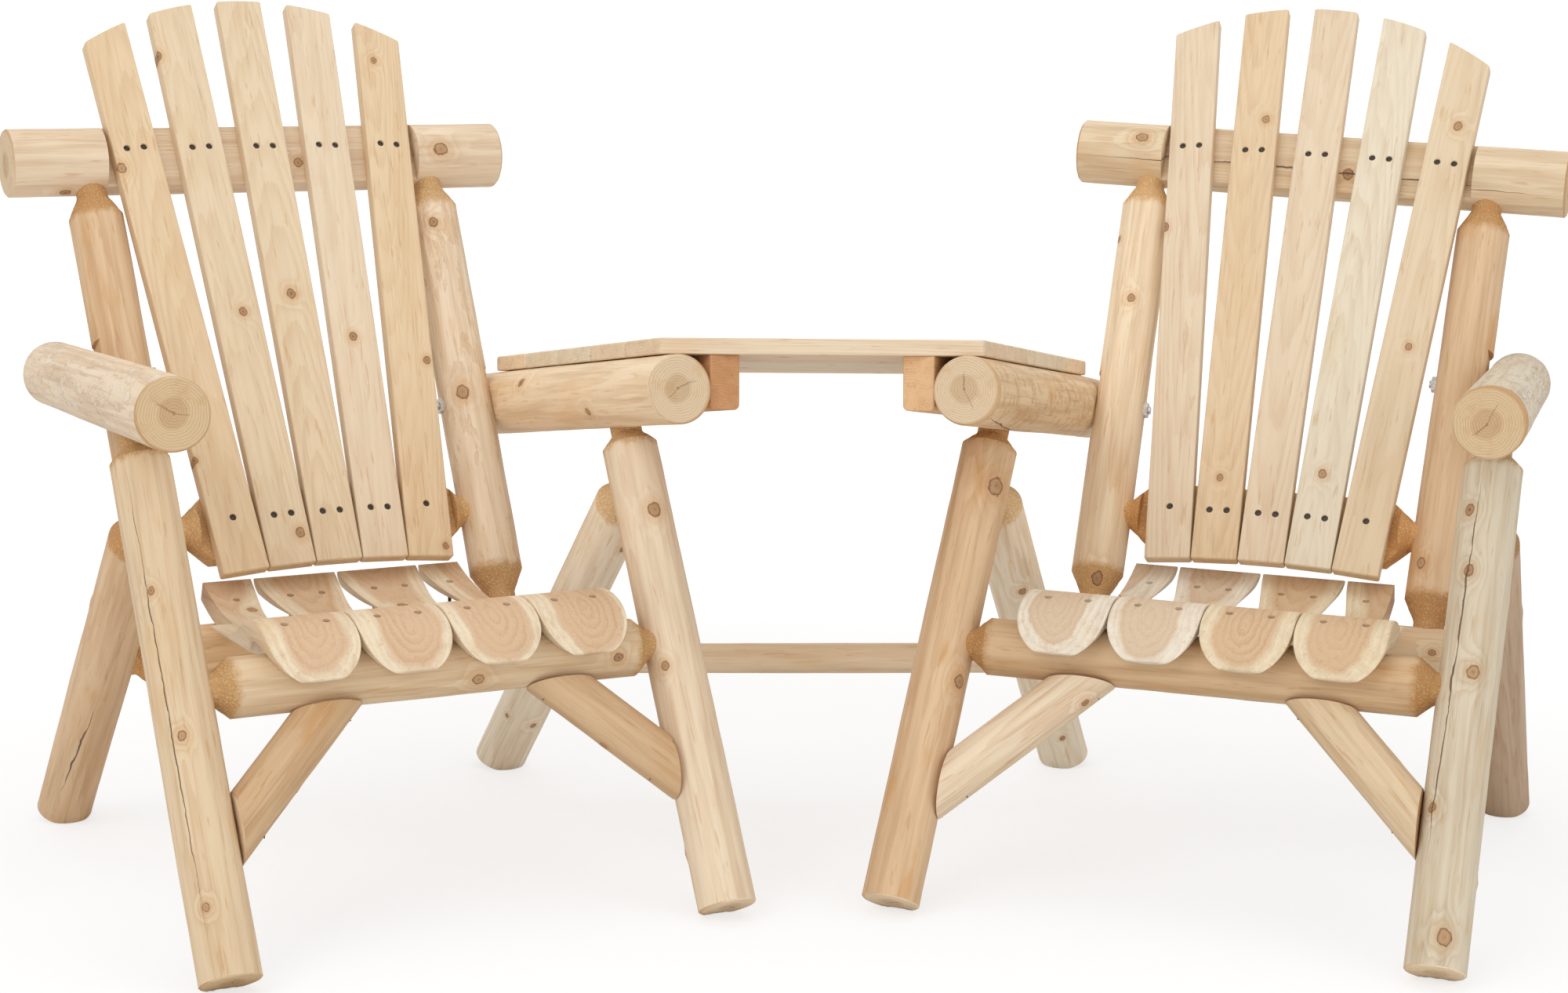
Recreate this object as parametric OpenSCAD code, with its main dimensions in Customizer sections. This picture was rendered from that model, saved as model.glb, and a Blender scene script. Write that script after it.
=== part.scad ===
// Log tete-a-tete: two log armchairs turned toward each other and joined by a corner table.
// X runs to the right, Y to the back and Z up. The floor is Z = 0 and X = 0 is the middle.
// A chair is drawn in its own frame: X is its width, outward positive, and Y its depth from the feet.
// The outer side of a chair is the one away from the table, the inner side carries the table.

/* [Layout] */
// Angle by which each chair is turned toward the middle
chair_turn = 24; // [20:1:28]
// Distance of each chair's front centre from the middle
chair_x = 369; // [350:1:400]
// Distance from the chairs' front centres back to the middle of the whole depth
depth_centre = 388; // [370:1:410]

/* [Logs] */
// Diameter of the front and rear legs
leg_d = 68; // [62:1:72]
// Diameter of the front and rear seat rails
seat_rail_d = 68; // [64:1:72]
// Diameter of the back posts
post_d = 68; // [62:1:72]
// Diameter of the arms
arm_d = 82; // [76:1:90]
// Diameter of the top rail
top_rail_d = 86; // [80:1:92]
// Diameter of the lower back rail
low_rail_d = 88; // [80:1:92]
// Diameter of the diagonal braces
brace_d = 58; // [50:1:62]
// Diameter of the stretcher pole
stretcher_d = 40; // [36:1:44]

/* [Round tenons] */
// Diameter of the round tenons
tenon_d = 38; // [34:1:40]
// Diameter of the stretcher's tenons
stretcher_tenon_d = 28; // [22:1:32]
// Clearance around a tenon
tenon_fit = 0.3; // [0.2:0.1:0.5]
// How far a tenon goes past the axis of the log that it enters
tenon_past = 8; // [4:1:12]
// Length of the taper on top of the front legs
leg_taper = 16; // [12:1:17]
// Length of the taper on top of the rear legs
rear_leg_taper = 20; // [14:1:21]
// Length of the tapers on the seat rails
seat_rail_taper = 18; // [14:1:24]
// Length of the tapers on the lower back rail
low_rail_taper = 29; // [22:1:32]
// Length of the tapers on the posts
post_taper = 29; // [20:1:31]
// Room between the end of a rail's taper and the log that it enters
shoulder_gap = 1; // [0.5:0.5:3]

/* [Front frame] */
// Distance between the axes of the two front legs
leg_spread = 596; // [580:1:620]
// Lean of the front legs from upright
front_lean = 31.8; // [30:0.1:33]
// Height of the middle of a front leg's cut end above the floor
foot_z = 14; // [12:1:16]
// Room between the full width of a front leg and the arm that it carries
leg_clear = 12; // [12:1:20]
// Angle that brings the foot of the left chair's inner leg toward that chair's middle
left_leg_angle = 1.3; // [-2:0.1:2]
// Angle that brings the foot of the right chair's inner leg toward that chair's middle
right_leg_angle = -1.8; // [-2:0.1:2]
// Place of the front seat rail along the legs
front_rail_t = 321; // [315:1:326]
// Distance of a brace's axis from the chair's middle, under the rail
brace_u = 139; // [125:1:150]
// Angle between the braces and the legs
brace_angle = 45; // [42:1:48]

/* [Rear legs] */
// Place along the front legs where the rear legs join them
joint_t = 539; // [530:1:545]
// Distance from that joint to the shoulder of the rear leg
rear_shoulder = 62; // [60:1:70]
// Height of the middle of a rear leg's cut end above the floor
rear_foot_z = 12; // [10:1:13]
// Angle of the rear legs' cut ends from level
rear_foot_cut = 24; // [20:1:28]
// Distance of the rear seat rail behind the front feet
rear_rail_v = 493; // [488:1:500]

/* [Seat] */
// Thickness of the seat slats
seat_slat_t = 25; // [22:1:28]
// Distance between the middles of neighbouring seat slats
seat_pitch = 107; // [100:1:112]
// Gap between neighbouring seat slats, which are sawn from round logs, where they are widest
seat_gap = 1; // [1:1:6]
// Radius of the top of the seat over the front rail
hump_r = 85; // [80:1:90]
// Direction in which the seat rests on the front rail, from level
hump_rest = 42; // [38:1:55]
// Radius of the hollow of the seat
dip_r = 372; // [350:1:400]
// Steepest slope of the seat, where the hump turns into the hollow
seat_fall = 28; // [26:1:29]
// Angle of the nose of the seat above level, seen from the middle of the hump
nose_angle = 21; // [15:1:30]
// Distance of the seat's back edge behind the front feet
seat_back_v = 540; // [534:1:546]
// How far the axis of the sawn log lies below the top of the hump
seat_log_drop = 10; // [6:1:16]
// Angle by which the axis of the sawn log falls toward the back
seat_log_fall_angle = 1.5; // [0:0.5:3]
// Room between a post and its notch in the outermost seat slat
seat_notch_gap = 13; // [8:1:20]
// Distance of those notches behind the front feet
seat_notch_v = 415; // [400:1:430]
// Sideways shift of the left seat, outward positive
left_seat_shift = -4; // [-6:1:6]
// Sideways shift of the right seat, outward positive
right_seat_shift = -2; // [-6:1:6]

/* [Back] */
// Lean of the back from upright
back_lean = 29.6; // [28:0.1:31]
// Distance between the post axes at the rear seat rail
post_low_w = 424; // [418:1:432]
// Distance between the post axes at the top rail
post_top_w = 450; // [440:1:460]
// Distance of the top rail from the rear seat rail, along the outer post
top_rail_s = 655; // [640:1:670]
// Length of the top rail
top_rail_l = 650; // [620:10:680]
// Rise of the left top rail from its outer to its inner post
left_rail_rise = 3; // [0:1:20]
// Rise of the right top rail from its outer to its inner post
right_rail_rise = 18; // [0:1:20]
// Distance of the lower back rail from the rear seat rail
low_rail_s = 153; // [150:1:160]
// Length of post left bare between its shoulder and a rail
post_neck = 35; // [34:1:40]

/* [Back slats] */
// Width of the back slats
slat_w = 58.5; // [54:0.5:60]
// Thickness of the back slats
slat_t = 20; // [16:1:22]
// Distance of the planed face on the rails before their axis
slat_seat = 14; // [12:1:16]
// Distance of the foot of the middle slat from the rear seat rail
slat_foot = 92; // [88:1:98]
// Gap between neighbouring slats at their feet
slat_gap = 1.2; // [1:0.1:3]
// Clearance between the outermost slats and the posts
slat_clear = 0.6; // [0.4:0.1:2]
// Radius of the arc along the slat tops
slat_top_r = 400; // [380:10:450]
// Distance of the crown of that arc from the rear seat rail
slat_crown = 868; // [850:1:890]
// Room beside the outermost slats in the planed notch of the top rail
notch_room = 5; // [3:1:8]

/* [Arms] */
// Distance of the arms' front ends behind the front feet
arm_front = 136; // [120:1:150]
// Height of the front end of the outer arm
outer_arm_h = 596; // [595:1:610]
// Height of the front end of the inner arm
inner_arm_h = 594; // [593:1:606]
// Length of the outer arm
outer_arm_l = 645; // [620:5:660]
// Length of the inner arm
inner_arm_l = 602; // [590:1:630]
// Angle by which the outer arm falls toward the back
outer_arm_fall_angle = 3.3; // [3:0.1:4]
// Angle by which the inner arm falls toward the back
inner_arm_fall_angle = 9.2; // [8.6:0.1:9.4]
// Angle by which the outer arm opens toward the front
outer_arm_splay_angle = 2.5; // [1.5:0.5:3]
// Depth of the flats where an arm and a post meet
flat_d = 5; // [3:0.5:7]
// Length of those flats
flat_l = 92; // [88:1:110]

/* [Table] */
// Distance of the table's front edge behind the front ends of the inner arms
table_setback = 27; // [15:1:40]
// Width of the table boards
board_w = 89; // [80:1:90]
// Gap between the table boards
board_gap = 5; // [3:1:8]
// Thickness of the table boards
board_t = 19; // [16:1:22]
// How far the boards reach past the axis of the inner arm
board_over = 13; // [5:1:15]
// Width of the table supports
support_w = 38; // [35:1:40]
// Depth of the table supports
support_h = 64; // [60:1:70]
// Rounding of the lower corners of the supports
support_r = 7; // [2:1:10]
// Height of the stretcher pole above the floor
stretcher_z = 184; // [165:1:190]

/* [Fasteners] */
// Diameter of a wood screw
screw_d = 4.2; // [3.5:0.1:5]
// Diameter of its head
screw_head_d = 8.4; // [7.5:0.1:9.5]
// How deep the heads are sunk
screw_sink = 3; // [2:0.5:4]
// Length of the screws in the back slats
slat_screw_l = 45; // [40:1:50]
// Length of the screws in the seat slats
seat_screw_l = 58; // [50:1:60]
// Length of the screws in the table boards
table_screw_l = 42; // [38:1:45]
// Length of the screws in the supports and braces
long_screw_l = 58; // [55:1:60]
// Diameter of the arm bolts
bolt_d = 10; // [8:1:10]
// Diameter of the domed bolt heads
bolt_head_d = 24; // [20:1:26]

/* [Hidden] */
$fn = 64;

LEFT = -1;
RIGHT = 1;
OUTER = 1;
INNER = -1;

// Colours of the peeled logs, the planed boards, the sawn slats and the metal
pale_log = "#ead8b8";
cream_log = "#e8cfa6";
tan_log = "#d9b27c";
planed = "#e8c898";
sawn = "#dfb98d";
lumber = "#d2a06a";
steel = "#9a9a98";

// Gap left between round logs that only touch
touch = 0.2;
// Clearance around a screw and around a bolt
screw_fit = 0.15;
bolt_fit = 0.4;
// Length by which a cutting shape passes a surface
over = 2;
// Size of a shape that cuts everything on one side of a plane
far = 2000;
// Small room left at the blind end of a mortise
mortise_end = 1;
screw_head_h = 3.2;
screw_tip_h = 6;
bolt_head_h = 6;
bolt_head_sink = 9;
spot_depth = 6;
spot_room = 2;
washer_t = 2;
washer_d = 22;
nut_h = 8;
nut_w = 18;
bolt_tail = 3;

leg_r = leg_d / 2;
seat_rail_r = seat_rail_d / 2;
post_r = post_d / 2;
arm_r = arm_d / 2;
brace_r = brace_d / 2;
leg_u = leg_spread / 2;
seat_log_d = seat_pitch - seat_gap;
rail_shoulder = leg_u - leg_r - seat_rail_taper - shoulder_gap;

// The seat curve: a hump that rests on the front rail, then a hollow that rests on the rear rail
front_rail_v = front_rail_t * sin(front_lean);
front_rail_z = foot_z + front_rail_t * cos(front_lean);
hump_off = hump_r - seat_slat_t - seat_rail_r - touch;
hump_v = front_rail_v + hump_off * cos(hump_rest);
hump_z = front_rail_z - hump_off * sin(hump_rest);
dip_v = hump_v + (hump_r + dip_r) * sin(seat_fall);
dip_z = hump_z + (hump_r + dip_r) * cos(seat_fall);
rear_rest = dip_r + seat_slat_t + seat_rail_r + touch;
rear_rail_z = dip_z - sqrt(pow(rear_rest, 2) - pow(rear_rail_v - dip_v, 2));

// Height of the seat's top face at the two rows of screws
front_seat_z = hump_z + sqrt(pow(hump_r, 2) - pow(front_rail_v - hump_v, 2));
rear_seat_z = dip_z - sqrt(pow(dip_r, 2) - pow(rear_rail_v - dip_v, 2));

// A rear leg runs from its joint in the front leg through the end of the rear seat rail
joint_v = joint_t * sin(front_lean);
joint_z = foot_z + joint_t * cos(front_lean);
rear_lean = atan2(rear_rail_v - joint_v, joint_z - rear_rail_z);
rear_leg_l = (joint_z - rear_foot_z) / cos(rear_lean);
rear_foot_v = joint_v + (joint_z - rear_foot_z) * tan(rear_lean);

// The posts stand on the rear seat rail and spread a little toward the top
post_low_u = post_low_w / 2;
post_top_u = post_top_w / 2;
post_tilt = atan((post_top_u - post_low_u) / top_rail_s);
post_foot = seat_rail_r + post_neck;
function post_u(s) = post_low_u + s * tan(post_tilt);

function by_side(side, outer, inner) = side == OUTER ? outer : inner;
function rail_rise(chair) = chair == LEFT ? left_rail_rise : right_rail_rise;
function rail_tilt(chair) = atan(rail_rise(chair) / post_top_w);
function rail_s(chair, u) = top_rail_s + rail_rise(chair) * (post_top_u - u) / post_top_w;
function post_head(chair, side) = rail_s(chair, side * post_top_u) - top_rail_d / 2 - post_neck;
function seat_shift(chair) = chair == LEFT ? left_seat_shift : right_seat_shift;

// The outermost slats pass the posts' shoulders with a clearance, and the fan follows from that
fan_head = max(post_head(LEFT, INNER), post_head(RIGHT, INNER));
fan_chord = sqrt(pow(post_r, 2) - pow(slat_seat, 2));
fan_edge = post_u(fan_head) - fan_chord - slat_clear;
foot_pitch = slat_w + slat_gap;
fan_slope = (fan_edge - slat_w / 2 - 2 * foot_pitch) / (fan_head - slat_foot);
fan_step = atan(fan_slope) / 2;
fan_drop = 2 * foot_pitch / fan_slope - slat_foot;
notch_half = (fan_drop + top_rail_s + top_rail_d / 2) * fan_slope + slat_w / 2 + notch_room;
low_shoulder = post_u(low_rail_s) - post_r - low_rail_taper - shoulder_gap;
seat_notch_half = post_low_u - post_r - seat_notch_gap;

// An arm lies on its front leg and is bolted to the outside of its post, both planed flat there
function arm_h(side) = by_side(side, outer_arm_h, inner_arm_h);
function arm_l(side) = by_side(side, outer_arm_l, inner_arm_l);
function arm_fall(side) = by_side(side, outer_arm_fall_angle, inner_arm_fall_angle);
function arm_splay(side) = by_side(side, outer_arm_splay_angle, 0);
function arm_drop(side) = (rear_rail_v - arm_front) * tan(arm_fall(side));
function fall_share(side, lean) = cos(lean) + sin(lean) * tan(arm_fall(side));
function bolt_s(side) = (arm_h(side) - rear_rail_z - arm_drop(side)) / fall_share(side, back_lean);
function bolt_v(side) = rear_rail_v + bolt_s(side) * sin(back_lean);
function bolt_z(side) = rear_rail_z + bolt_s(side) * cos(back_lean);
function flat_u(side) = post_u(bolt_s(side)) + post_r - flat_d;
function arm_u(side) = flat_u(side) + arm_r - flat_d + touch;
function arm_y0(side) = -(bolt_v(side) - arm_front) / cos(arm_fall(side)) / cos(arm_splay(side));
function leg_top(side) =
    (arm_h(side) - foot_z + arm_front * tan(arm_fall(side))) / fall_share(side, front_lean);

// A front leg is cut to its taper before its full width would meet the arm
function arm_tilt(side) = front_lean - arm_fall(side);
function leg_l(side) =
    leg_top(side) - arm_r / cos(arm_tilt(side)) - leg_r * tan(arm_tilt(side)) - leg_clear;

// The inner front legs are turned a little about their upper ends
function leg_turn(chair, side) =
    side == OUTER ? 0 : chair == LEFT ? left_leg_angle : right_leg_angle;
function leg_shift(chair, side, t) = (leg_top(side) - t) * tan(leg_turn(chair, side));
function front_shoulder(chair, side) = rail_shoulder - leg_shift(chair, side, front_rail_t);

// A brace meets the leg's inner side at this place along the leg and from the chair's middle
brace_foot_t = front_rail_t - seat_rail_r - (leg_u - leg_r - brace_u) / tan(brace_angle);
function leg_face(chair, side) = leg_u - leg_r - leg_shift(chair, side, brace_foot_t);

// The table lies on the inner arms, so its slope and its side edges follow them
arm_end_x = chair_x - arm_u(INNER) * cos(chair_turn) + arm_front * sin(chair_turn);
arm_end_y = arm_u(INNER) * sin(chair_turn) + arm_front * cos(chair_turn) - depth_centre;
table_fall = atan(tan(inner_arm_fall_angle) / cos(chair_turn));
table_side = asin(sin(chair_turn) * cos(inner_arm_fall_angle));
table_y = arm_end_y + table_setback;
table_z = inner_arm_h + (arm_r + touch - table_setback * sin(table_fall)) / cos(table_fall);
arm_end_reach = -table_setback * cos(table_fall) - (inner_arm_h - table_z) * sin(table_fall);
arm_line_x = arm_end_x - arm_end_reach * tan(table_side);
table_half = arm_line_x + board_over / cos(table_side);
board_pitch = board_w + board_gap;
table_depth = 5 * board_pitch - board_gap;
support_off = arm_r + touch + support_w / 2;
support_in = 2;

// The stretcher runs between the axes of the two inner rear legs
stretcher_v = rear_rail_v + (rear_rail_z - stretcher_z) * tan(rear_lean);
stretcher_half = chair_x - leg_u * cos(chair_turn) + stretcher_v * sin(chair_turn);
stretcher_y = leg_u * sin(chair_turn) + stretcher_v * cos(chair_turn) - depth_centre;
stretcher_neck = 16;
stretcher_taper = 8;
stretcher_shoulder = stretcher_half - leg_r - stretcher_neck;

// Offsets of the screws from the middle of a slat
slat_screw_u = 11;
front_screw_u = 24;
rear_screw_u = 20;
edge_screw_u = 137;
low_row = 4;
top_row = 3;

// Frames

module chair(which) {
    translate([0, -depth_centre, 0])
        mirror([which == LEFT ? 1 : 0, 0, 0])
            translate([chair_x, 0, 0]) rotate([0, 0, -chair_turn]) children();
}

// Draws for the outer side, and mirrored for the inner side
module flank(side) {
    mirror([side == INNER ? 1 : 0, 0, 0]) children();
}

// The plane of the front legs: Z runs up along them
module front_plane() {
    translate([0, 0, foot_z]) rotate([-front_lean, 0, 0]) children();
}

// The plane of the back: Z runs up along it from the rear seat rail, Y to the back
module back_plane() {
    translate([0, rear_rail_v, rear_rail_z]) rotate([-back_lean, 0, 0]) children();
}

// Z runs up along a front leg from its foot
module leg_line(which, side) {
    front_plane() translate([leg_u, 0, leg_top(side)]) rotate([0, leg_turn(which, side), 0])
        translate([0, 0, -leg_top(side)]) children();
}

// Z runs up along a post from the axis of the rear seat rail
module post_line() {
    translate([post_low_u, 0, 0]) rotate([0, post_tilt, 0]) children();
}

// Z runs up along a rear leg, zero at the axis of the front leg
module rear_leg_line() {
    translate([leg_u, joint_v, joint_z]) rotate([rear_lean, 0, 0]) children();
}

// Y runs back along an arm, zero at its bolt
module arm_line(side) {
    translate([arm_u(side), bolt_v(side), bolt_z(side)])
        rotate([0, 0, arm_splay(side)]) rotate([-arm_fall(side), 0, 0]) children();
}

// X runs outward along an arm bolt
module bolt_line(side) {
    translate([0, bolt_v(side), bolt_z(side)]) children();
}

// A back slat's own line: Z runs up along it from the point that the fan spreads from
module fan(k) {
    translate([0, 0, -fan_drop]) rotate([0, k * fan_step, 0]) children();
}

// The plane of the table's underside: Y runs back from the front edge
module table_plane() {
    translate([0, table_y, table_z]) rotate([-table_fall, 0, 0]) children();
}

// Y runs back along a chair's inner arm, in the plane of the table
module arm_edge(which) {
    mirror([which == LEFT ? 1 : 0, 0, 0])
        table_plane() translate([arm_line_x, 0, 0]) rotate([0, 0, -table_side]) children();
}

// Shapes

module log_x(d, l) {
    rotate([0, 90, 0]) cylinder(h = l, d = d, center = true);
}

module log_y(d, y, l) {
    translate([0, y, 0]) rotate([-90, 0, 0]) cylinder(h = l, d = d);
}

// A taper and a round tenon that point along Z from the shoulder of a log
module tenon(d, taper, reach, end_d = tenon_d) {
    cylinder(h = taper, d1 = d, d2 = end_d);
    cylinder(h = reach, d = end_d);
}

// The hole for a tenon, from the place of its shoulder
module mortise(reach, end_d = tenon_d) {
    cylinder(h = reach + mortise_end, d = end_d + 2 * tenon_fit);
}

// A log along X with a shoulder and a tenon on each end, turned in one profile
module tenoned_rail(d, outer_end, inner_end, taper, reach) {
    rotate([0, 90, 0]) rotate_extrude() polygon([
        [0, -inner_end - reach],
        [tenon_d / 2, -inner_end - reach],
        [tenon_d / 2, -inner_end - taper],
        [d / 2, -inner_end],
        [d / 2, outer_end],
        [tenon_d / 2, outer_end + taper],
        [tenon_d / 2, outer_end + reach],
        [0, outer_end + reach]
    ]);
}

// Everything below the floor
module below_floor() {
    translate([-far / 2, -far / 2, -far]) cube(far);
}

// A wood screw that enters along -Z, with the wood's face at zero
module screw(l) {
    translate([0, 0, -screw_sink - screw_head_h])
        cylinder(h = screw_head_h, d1 = screw_d, d2 = screw_head_d);
    translate([0, 0, -screw_sink - l + screw_tip_h])
        cylinder(h = l - screw_tip_h - screw_head_h, d = screw_d);
    translate([0, 0, -screw_sink - l])
        cylinder(h = screw_tip_h, d1 = screw_d / 4, d2 = screw_d);
}

module screw_hole(l) {
    head = screw_head_d + 2 * screw_fit;
    shank = screw_d + 2 * screw_fit;
    translate([0, 0, -screw_sink]) cylinder(h = screw_sink + 6 * over, d = head);
    translate([0, 0, -screw_sink - screw_head_h])
        cylinder(h = screw_head_h, d1 = shank, d2 = head);
    translate([0, 0, -screw_sink - l - mortise_end]) cylinder(h = l, d = shank);
}

// Places of the fasteners, as solids or as holes

module screw_or_hole(l, hole) {
    if (hole) screw_hole(l);
    else screw(l);
}

// The two rows of screws in one back slat
module slat_screws(which, k, hole) {
    low = low_rail_s + low_row;
    top = rail_s(which, k * (fan_drop + top_rail_s) * tan(fan_step)) + top_row;
    places = [
        for (u = abs(k) == 2 ? [0] : [-slat_screw_u, slat_screw_u]) [u, low],
        for (u = [-slat_screw_u, slat_screw_u]) [u, top]
    ];
    for (place = places)
        back_plane() fan(k)
            translate([place[0], -slat_seat - slat_t, (fan_drop + place[1]) / cos(k * fan_step)])
                rotate([90, 0, 0]) screw_or_hole(slat_screw_l, hole);
}

module back_screws(which, hole) {
    for (k = [-2:2]) slat_screws(which, k, hole);
}

function seat_slat_u(which, k) = (k - 1.5) * seat_pitch + seat_shift(which);
function rear_screws(which, k) =
    k == 0 ? [-edge_screw_u]
    : k == 3 ? [edge_screw_u]
    : [for (u = [-rear_screw_u, rear_screw_u]) seat_slat_u(which, k) + u];

// The screws of one seat slat: two into the front rail, one or two into the rear rail
module seat_slat_screws_of(which, k, hole) {
    for (u = [-front_screw_u, front_screw_u])
        translate([seat_slat_u(which, k) + u, front_rail_v, front_seat_z])
            screw_or_hole(seat_screw_l, hole);
    for (u = rear_screws(which, k))
        translate([u, rear_rail_v, rear_seat_z]) screw_or_hole(seat_screw_l, hole);
}

module seat_screws(which, hole) {
    for (k = [0:3]) seat_slat_screws_of(which, k, hole);
}

// A brace has one screw up into the rail and one outward into the leg
module brace_screws(which, side, hole) {
    rail_under = front_rail_t - seat_rail_r;
    up_u = brace_u - brace_r * 0.7;
    up_t = rail_under - (up_u - brace_u) / tan(brace_angle) - brace_r / sin(brace_angle);
    out_t = rail_under - (leg_face(which, side) - brace_u) / tan(brace_angle) - brace_r * 0.3;
    out_u = brace_u + (rail_under - out_t) * tan(brace_angle) - brace_r / cos(brace_angle);
    front_plane() {
        translate([up_u, 0, up_t]) rotate([180, 0, 0]) screw_or_hole(long_screw_l, hole);
        translate([out_u, 0, out_t]) rotate([0, -90, 0]) screw_or_hole(long_screw_l, hole);
    }
}

// Two screws from each table board into each support
module board_screws(k, hole) {
    for (which = [LEFT, RIGHT])
        for (part = [0.25, 0.75]) {
            y = k * board_pitch + part * board_w;
            arm_edge(which)
                translate([-support_off, (y - support_off * sin(table_side)) / cos(table_side), board_t])
                    screw_or_hole(table_screw_l, hole);
        }
}

// Three screws from a support into the inner arm beside it
module support_screws(which, hole) {
    for (part = [0.15, 0.55, 0.9])
        arm_edge(which)
            translate([-support_off - support_w / 2, part * table_depth, -arm_r - touch])
                rotate([0, -90, 0]) screw_or_hole(long_screw_l, hole);
}

// The hole for an arm bolt, with a recess for its head and a spot face for its nut
module bolt_hole(side) {
    nut_face = post_u(bolt_s(side)) - post_r + spot_depth;
    head_face = arm_u(side) + arm_r - bolt_head_sink;
    bolt_line(side) {
        translate([nut_face - over, 0, 0]) rotate([0, 90, 0])
            cylinder(h = head_face - nut_face + 2 * over, d = bolt_d + 2 * bolt_fit);
        translate([head_face, 0, 0]) rotate([0, 90, 0])
            cylinder(h = arm_r, d = bolt_head_d + 2 * bolt_fit);
        translate([nut_face, 0, 0]) rotate([0, -90, 0])
            cylinder(h = post_r, d = washer_d + 2 * spot_room);
    }
}

module arm_bolt(side) {
    nut_face = post_u(bolt_s(side)) - post_r + spot_depth;
    head_face = arm_u(side) + arm_r - bolt_head_sink;
    tail = washer_t + nut_h + bolt_tail;
    bolt_line(side) {
        translate([nut_face - tail, 0, 0]) rotate([0, 90, 0])
            cylinder(h = head_face - nut_face + tail, d = bolt_d);
        translate([head_face, 0, 0]) rotate([0, 90, 0])
            cylinder(h = bolt_head_h, d1 = bolt_head_d, d2 = bolt_head_d * 0.6);
    }
}

// A washer and a hexagon nut on the inside of the post
module arm_nut(side) {
    nut_face = post_u(bolt_s(side)) - post_r + spot_depth;
    bolt_line(side) translate([nut_face, 0, 0]) rotate([0, -90, 0]) {
        difference() {
            cylinder(h = washer_t, d = washer_d);
            translate([0, 0, -over]) cylinder(h = washer_t + 2 * over, d = bolt_d + bolt_fit);
        }
        translate([0, 0, washer_t]) difference() {
            cylinder(h = nut_h, d = nut_w / cos(30), $fn = 6);
            translate([0, 0, -over]) cylinder(h = nut_h + 2 * over, d = bolt_d + bolt_fit);
        }
    }
}

// Chair pieces, drawn in the chair's own frame

module front_leg(which, side) {
    flank(side) difference() {
        leg_line(which, side) {
            cylinder(h = leg_l(side), d = leg_d);
            translate([0, 0, leg_l(side)])
                tenon(leg_d, leg_taper, leg_top(side) - leg_l(side) + tenon_past);
        }
        below_floor();
        front_plane() translate([front_shoulder(which, side), 0, front_rail_t]) rotate([0, 90, 0])
            mortise(leg_u - rail_shoulder + tenon_past);
        rear_leg_line() translate([0, 0, -rear_shoulder]) mortise(rear_shoulder + tenon_past);
        brace_screws(which, side, true);
    }
}

module rear_leg(side) {
    flank(side) difference() {
        rear_leg_line() {
            translate([0, 0, -rear_leg_l - leg_d])
                cylinder(h = rear_leg_l + leg_d - rear_shoulder, d = leg_d);
            translate([0, 0, -rear_shoulder])
                tenon(leg_d, rear_leg_taper, rear_shoulder + tenon_past);
        }
        translate([leg_u, rear_foot_v, rear_foot_z]) rotate([rear_foot_cut, 0, 0]) below_floor();
        below_floor();
        translate([rail_shoulder, rear_rail_v, rear_rail_z]) rotate([0, 90, 0])
            mortise(leg_u - rail_shoulder + tenon_past);
    }
}

module front_seat_rail(which) {
    difference() {
        front_plane() translate([0, 0, front_rail_t])
            tenoned_rail(seat_rail_d, front_shoulder(which, OUTER), front_shoulder(which, INNER),
                seat_rail_taper, leg_u - rail_shoulder + tenon_past);
        seat_screws(which, true);
        for (side = [OUTER, INNER]) flank(side) brace_screws(which, side, true);
    }
}

module rear_seat_rail(which) {
    difference() {
        translate([0, rear_rail_v, rear_rail_z])
            tenoned_rail(seat_rail_d, rail_shoulder, rail_shoulder,
                seat_rail_taper, leg_u - rail_shoulder + tenon_past);
        for (side = [OUTER, INNER])
            flank(side) back_plane() post_line() translate([0, 0, post_foot]) mirror([0, 0, 1])
                mortise(post_foot + tenon_past);
        seat_screws(which, true);
    }
}

// A log mitred to the underside of the front rail and to the inside of the leg
module brace(which, side) {
    rail_under = front_rail_t - seat_rail_r;
    flank(side) difference() {
        front_plane() translate([brace_u, 0, rail_under]) rotate([0, 180 - brace_angle, 0])
            translate([0, 0, -brace_d]) cylinder(h = leg_u, d = brace_d);
        front_plane() translate([-far / 2, -far / 2, rail_under - touch]) cube(far);
        leg_line(which, side) translate([-leg_r - touch, -far / 2, -far / 2]) cube(far);
        brace_screws(which, side, true);
    }
}

module back_post(which, side) {
    foot = post_foot;
    head = post_head(which, side);
    flank(side) difference() {
        back_plane() post_line() {
            translate([0, 0, foot]) cylinder(h = head - foot, d = post_d);
            translate([0, 0, head]) tenon(post_d, post_taper, post_neck + top_rail_d / 2 + tenon_past);
            translate([0, 0, foot]) mirror([0, 0, 1]) tenon(post_d, post_taper, foot + tenon_past);
        }
        back_plane() translate([flat_u(side), -post_d, bolt_s(side) - flat_l / 2])
            cube([post_d, 2 * post_d, flat_l]);
        back_plane() translate([low_shoulder, 0, low_rail_s]) rotate([0, 90, 0])
            mortise(post_u(low_rail_s) - low_shoulder + tenon_past);
        bolt_hole(side);
    }
}

// A log with a planed notch across its front, which the slats lie in
module top_rail(which) {
    difference() {
        back_plane() translate([0, 0, rail_s(which, 0)]) rotate([0, rail_tilt(which), 0])
            difference() {
                log_x(top_rail_d, top_rail_l);
                translate([-notch_half, -top_rail_d - slat_seat, -top_rail_d])
                    cube([2 * notch_half, top_rail_d, 2 * top_rail_d]);
            }
        for (side = [OUTER, INNER])
            flank(side) back_plane() post_line() translate([0, 0, post_head(which, side)])
                mortise(post_neck + top_rail_d / 2 + tenon_past);
        back_screws(which, true);
    }
}

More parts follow.
